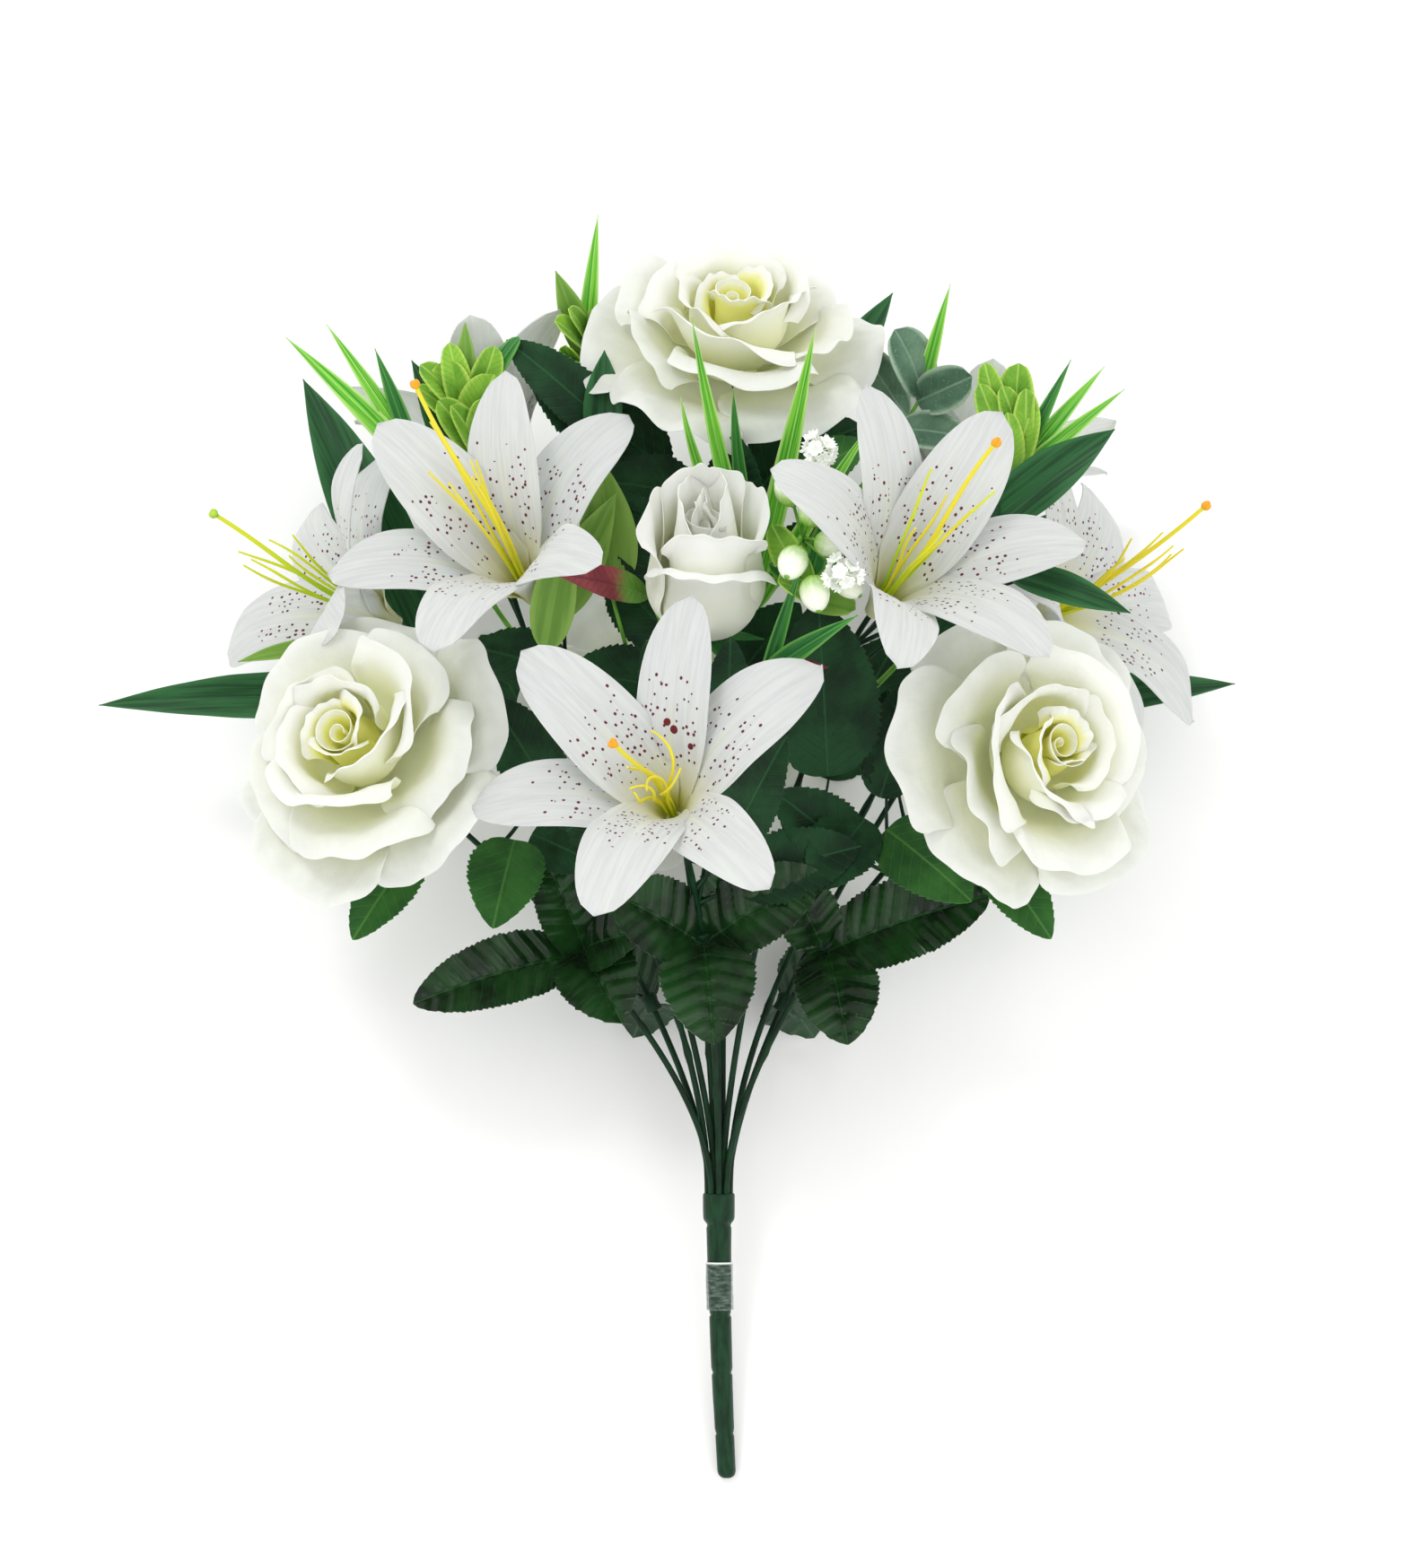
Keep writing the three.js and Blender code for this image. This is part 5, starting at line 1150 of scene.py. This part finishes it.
def threaded(name, spec):
    piece = Piece(name + "_spray", spec["slot"], name)
    route = stem_route(PICKS[spec["on"]])
    index = at_share(route, spec["place"])
    middle = route[index]
    axis = unit(route[index + 2] - route[index - 2])
    radius, length = spec["sleeve"]
    low, high = -length / 2, length / 2
    sleeve = [[0, low], [SLEEVE_BORE, low], [radius - 0.7, low], [radius - 0.1, low + 0.7],
              [radius - 0.5, 0], [radius, high - 1], [radius - 0.6, high], [SLEEVE_BORE, high], [0, high]]
    piece.turned(middle, axis, sleeve, 16, spec["finish"])

    def in_wall(towards, front):
        outwards = unit(towards - middle) + front * 0.8
        return middle + unit(outwards - axis * outwards.dot(axis)) * (radius - 0.6)

    if "twig" in spec:
        bend, end = vec(spec["twig"])
        path = curve([in_wall(bend, LEAF_FACING), bend, end], 30)
        elbow = path[0] * 0.25 + bend * 0.5 + end * 0.25
        piece.tube(path, np.linspace(*TWIG_RADII, 30), 9, spec["finish"])
    for style, root, tip, width, facing, arch in spec["blades"]:
        tip = vec(tip)
        if style[0] == "round":
            facing = facing + vec([rng.uniform(-0.6, 0.6), rng.uniform(-0.3, 0.6), 0])
        if style is SPRIGGY:
            width = width * SPRIG_WIDEN
        if root is None:
            start = in_wall(tip, facing)
            rib = curve([start, mix(start, tip, 0.15), mix(start, tip, 0.3) + unit(facing) * 0.5], 8)
            piece.tube(rib, np.linspace(*RIB_RADII, 8), 8, spec["finish"])
        else:
            start = mix(elbow, end, root)
        blade(piece, style, start, tip, width, facing, arch)
    piece.finish()


# ---------- berries and florets ----------

# Place of the middle and length of each.
BERRIES = [((25, 262, 80), 14), ((34, 254, 88), 14), ((26, 234, 98), 14),
           ((34, 223, 98), 14), ((46, 227, 90), 13), ((40, 241, 90), 13)]
FLORET_HEADS = [(44, 230, 104), (36, 275, 84)]
FLORETS = 14  # of one head
FLORET_SIZE = 2.9
FLORET_SHEET = 0.25
GOLDEN_ANGLE = 137.5
BERRY_FOOT = vec([30, 244, 72])


def floret(piece, middle, normal, size):
    """Five petals round a small ball."""
    side, other = square_to(normal, [0.2, 0.5, 0.8])
    s, t = grid(5, 6)
    spin = rng.uniform(0, 6)
    for k in range(5):
        turn = 2 * math.pi * k / 5 + spin
        ahead = math.cos(turn) * side + math.sin(turn) * other
        beside = np.cross(normal, ahead)
        half = size * (0.12 + 0.42 * np.sin(math.pi * np.clip(t, 0.05, 0.93)))
        lift = size * (0.35 * t * t + 0.3 * s * s + 0.12 * np.sin(9 * t + 4 * s + spin) * t)
        flat = middle + (size * t)[..., None] * ahead + (half * s)[..., None] * beside
        places = flat + lift[..., None] * normal
        piece.sheet(places, half * s, size * t, s, t, (FLORET, FLORET), FLORET_SHEET, spin)
    piece.ball(middle + normal * 0.3, normal, 0.4, 0.4, FLORET, sides=8, rings=5)


def berry_cluster():
    piece = Piece("berry_cluster", "berry_foam", "berries")
    piece.ball(BERRY_FOOT, [0, 1, 0], 1.75, 1.75, LIGHT_PLASTIC)
    for place, size in BERRIES:
        place = vec(place)
        out = unit((place - BERRY_FOOT) * [1, 1, 0.3])
        low = place - out * size * 0.42
        stalk = curve([BERRY_FOOT, mix(BERRY_FOOT, low, 0.6) + vec([0, 1, 0]), low], 14)
        piece.tube(stalk, 0.6, 7, LIGHT_PLASTIC)
        seed = rng.uniform(0, 9)
        piece.ball(place, out, size * 0.39, size * 0.5, BERRY, seed, taper=0.12, sides=22, rings=16)
        piece.ball(place + out * size * 0.49, out, size * 0.08, size * 0.05, LIGHT_PLASTIC, sides=8, rings=5)
        piece.turned(low, out, [[0, -0.6], [0.9, -0.5], [1.9, 0.9], [1.6, 1.0], [0, 0.6]], 10, LIGHT_PLASTIC)
    for head in vec(FLORET_HEADS):
        piece.tube(curve([BERRY_FOOT, mix(BERRY_FOOT, head, 0.5), head], 12), 0.55, 7, LIGHT_PLASTIC)
        for i in range(FLORETS):
            up = 1 - 2 * (i + 0.5) / FLORETS
            ring = math.sqrt(1 - up * up)
            turn = math.radians(GOLDEN_ANGLE * i)
            out = vec([ring * math.cos(turn), up, ring * math.sin(turn)])
            far = rng.uniform(3.2, 6)
            piece.tube(curve([head, head + out * 2, head + out * far], 5), 0.3, 5, FLORET)
            floret(piece, head + out * far, out, FLORET_SIZE)
    piece.finish()


# ---------- the handle ----------

HANDLE_LENGTH = 108
HANDLE_ASIDE = 3  # how far the lower end stands to the side
HANDLE_END = [[0, -HANDLE_LENGTH], [1.6, -107.9], [2.5, -107.4], [3.1, -106.6], [3.4, -105.4]]
HANDLE_TOP = [[5.0, -11.0], [5.6, -10.2], [5.85, -9.2], [HANDLE_TOP_RADIUS, -7], [HANDLE_TOP_RADIUS, -0.8],
              [5.7, -0.25], [5.4, 0], [0, 0]]
# Each stretch between grooves: low and high end, radius of the groove above it, radius of both ends.
HANDLE_STRETCHES = (
    (-105.4, -92, 3.1, 3.4, 3.5), (-90, -69, 3.35, 3.6, 3.8), (-67, -47, 3.6, 3.9, 4.05),
    (-45, -13.2, 4.3, 4.1, 4.6),
)
SEAM = 0.16  # how far the mould's seam stands out
TAPE_LOW, TAPE_HIGH = -44.3, -26.2
TAPE_GRAIN = 18  # mm of the film's grain from its low to its high edge
TAPE_RADIUS, TAPE_LAP, TAPE_SHEET = 5.02, 0.16, 0.12
TAPE_HALF_TURN = 1.16 * math.pi


def bent(places):
    """The handle's lower end stands a little to the side."""
    share = np.minimum(0, places[:, 1]) / HANDLE_LENGTH
    places[:, 0] += HANDLE_ASIDE * share * share
    return places


def with_seam(places):
    bent(places)
    around = np.abs(np.arctan2(places[:, 2], places[:, 0]))
    seam = np.exp(-(np.minimum(around, math.pi - around) / 0.07) ** 2)
    places[:, 0] += SEAM * seam * np.sign(places[:, 0]) * (np.hypot(places[:, 0], places[:, 2]) > 2)
    return places


def handle():
    piece = Piece("moulded_handle", "handle_plastic", "handle")
    profile = list(HANDLE_END)
    for low, high, waist, r_low, r_high in HANDLE_STRETCHES:
        profile += [[mix(r_low, r_high, share), mix(low, high, share)] for share in np.linspace(0.05, 1, 7)]
        profile += [[waist + 0.12, high + 0.5], [waist, high + 0.9], [waist + 0.05, high + 1.1],
                    [waist + 0.3, high + 1.7]]
    piece.turned([0, 0, 0], [0, 1, 0], profile + HANDLE_TOP, 64, HANDLE_PLASTIC, shape=with_seam)
    piece.finish(sharp=40)


def tape():
    piece = Piece("tape_wrap", "clear_tape", "tape_band")
    s, t = grid(97, 14)
    turn = s * TAPE_HALF_TURN
    r = TAPE_RADIUS + TAPE_LAP * (s + 1) / 2 + 0.05 * np.sin(7 * turn + 9 * t)
    height = mix(TAPE_LOW, TAPE_HIGH, t) + 0.3 * np.sin(turn)
    places = np.stack([r * np.cos(turn), height, r * np.sin(turn)], axis=2)
    places = bent(places.reshape(-1, 3)).reshape(places.shape)
    piece.sheet(places, r * turn, t * TAPE_GRAIN, s, t, (TAPE, TAPE), TAPE_SHEET)
    piece.finish()


# ---------- the whole bush ----------

for name, pick in PICKS.items():
    head = Head(pick["base"], pick["facing"])
    leafy_stem(name, pick, head)
    if pick["bloom"] == "lily":
        lily_bloom(name, head, pick["petals"], pick.get("marked"))
        lily_stamens(name, head, pick["pistil"], *pick["look"])
    else:
        rose_bloom(name, head, pick["bloom"] == "bud", pick["spin"])
for name, spec in THREADED.items():
    threaded(name, spec)
berry_cluster()
handle()
tape()

# ---------- floor, light and camera, in metres ----------

FLOOR_REACH = 4.0
SKY_STRENGTH = 1.17
# Each soft light: its place, what it is aimed at, its width and its watts.
LIGHTS = {
    "key": ((-0.7, 0.9, 1.7), (0, 0.05, 0.1), 0.5, 8),
    "fill": ((1.1, -0.2, 1.5), (0, 0.05, 0.1), 1.0, 3),
    "front": ((0.1, -1.3, 1.2), (0, 0.0, 0.1), 1.0, 2.5),
}
CAMERA_DISTANCE = 1700  # mm in the bush's frame, straight in front of it
CAMERA_PLACE = [-5.8, 155, CAMERA_DISTANCE]
FRAME_HEIGHT = 594.3  # mm of the bush's middle plane from the picture's lower to its upper edge
SENSOR = 36


def placed(name, data):
    made = bpy.data.objects.new(name, data)
    bpy.context.scene.collection.objects.link(made)
    return made


mesh = bpy.data.meshes.new("floor")
corners = [(x * FLOOR_REACH, y * FLOOR_REACH, 0) for x, y in ((-1, -1), (1, -1), (1, 1), (-1, 1))]
mesh.from_pydata(corners, [], [(0, 1, 2, 3)])
mesh.materials.append(floor_finish())
floor = placed("floor", mesh)

for name, (place, aim, width, watts) in LIGHTS.items():
    data = bpy.data.lights.new(name, "AREA")
    data.shape = "DISK"
    data.size = width
    data.energy = watts
    light = placed(name, data)
    light.location = place
    light.rotation_mode = "QUATERNION"
    light.rotation_quaternion = (Vector(aim) - Vector(place)).to_track_quat("-Z", "Y")

sky = bpy.data.worlds.new("studio")
sky.use_nodes = True
background = sky.node_tree.nodes["Background"].inputs
background["Color"].default_value = (1, 1, 1, 1)
background["Strength"].default_value = SKY_STRENGTH
bpy.context.scene.world = sky

bpy.context.scene.view_settings.view_transform = "Standard"
bpy.context.scene.cycles.max_bounces = 24
bpy.context.scene.cycles.diffuse_bounces = 16

camera_data = bpy.data.cameras.new("camera")
camera_data.sensor_width = SENSOR
camera_data.sensor_fit = "AUTO"
camera_data.lens = SENSOR * CAMERA_DISTANCE / FRAME_HEIGHT
camera_data.clip_start, camera_data.clip_end = 0.05, 20
camera = placed("camera", camera_data)
camera.matrix_world = Matrix.Translation(world([CAMERA_PLACE])[0].tolist()) @ Matrix(LAID.tolist()).to_4x4()
bpy.context.scene.camera = camera
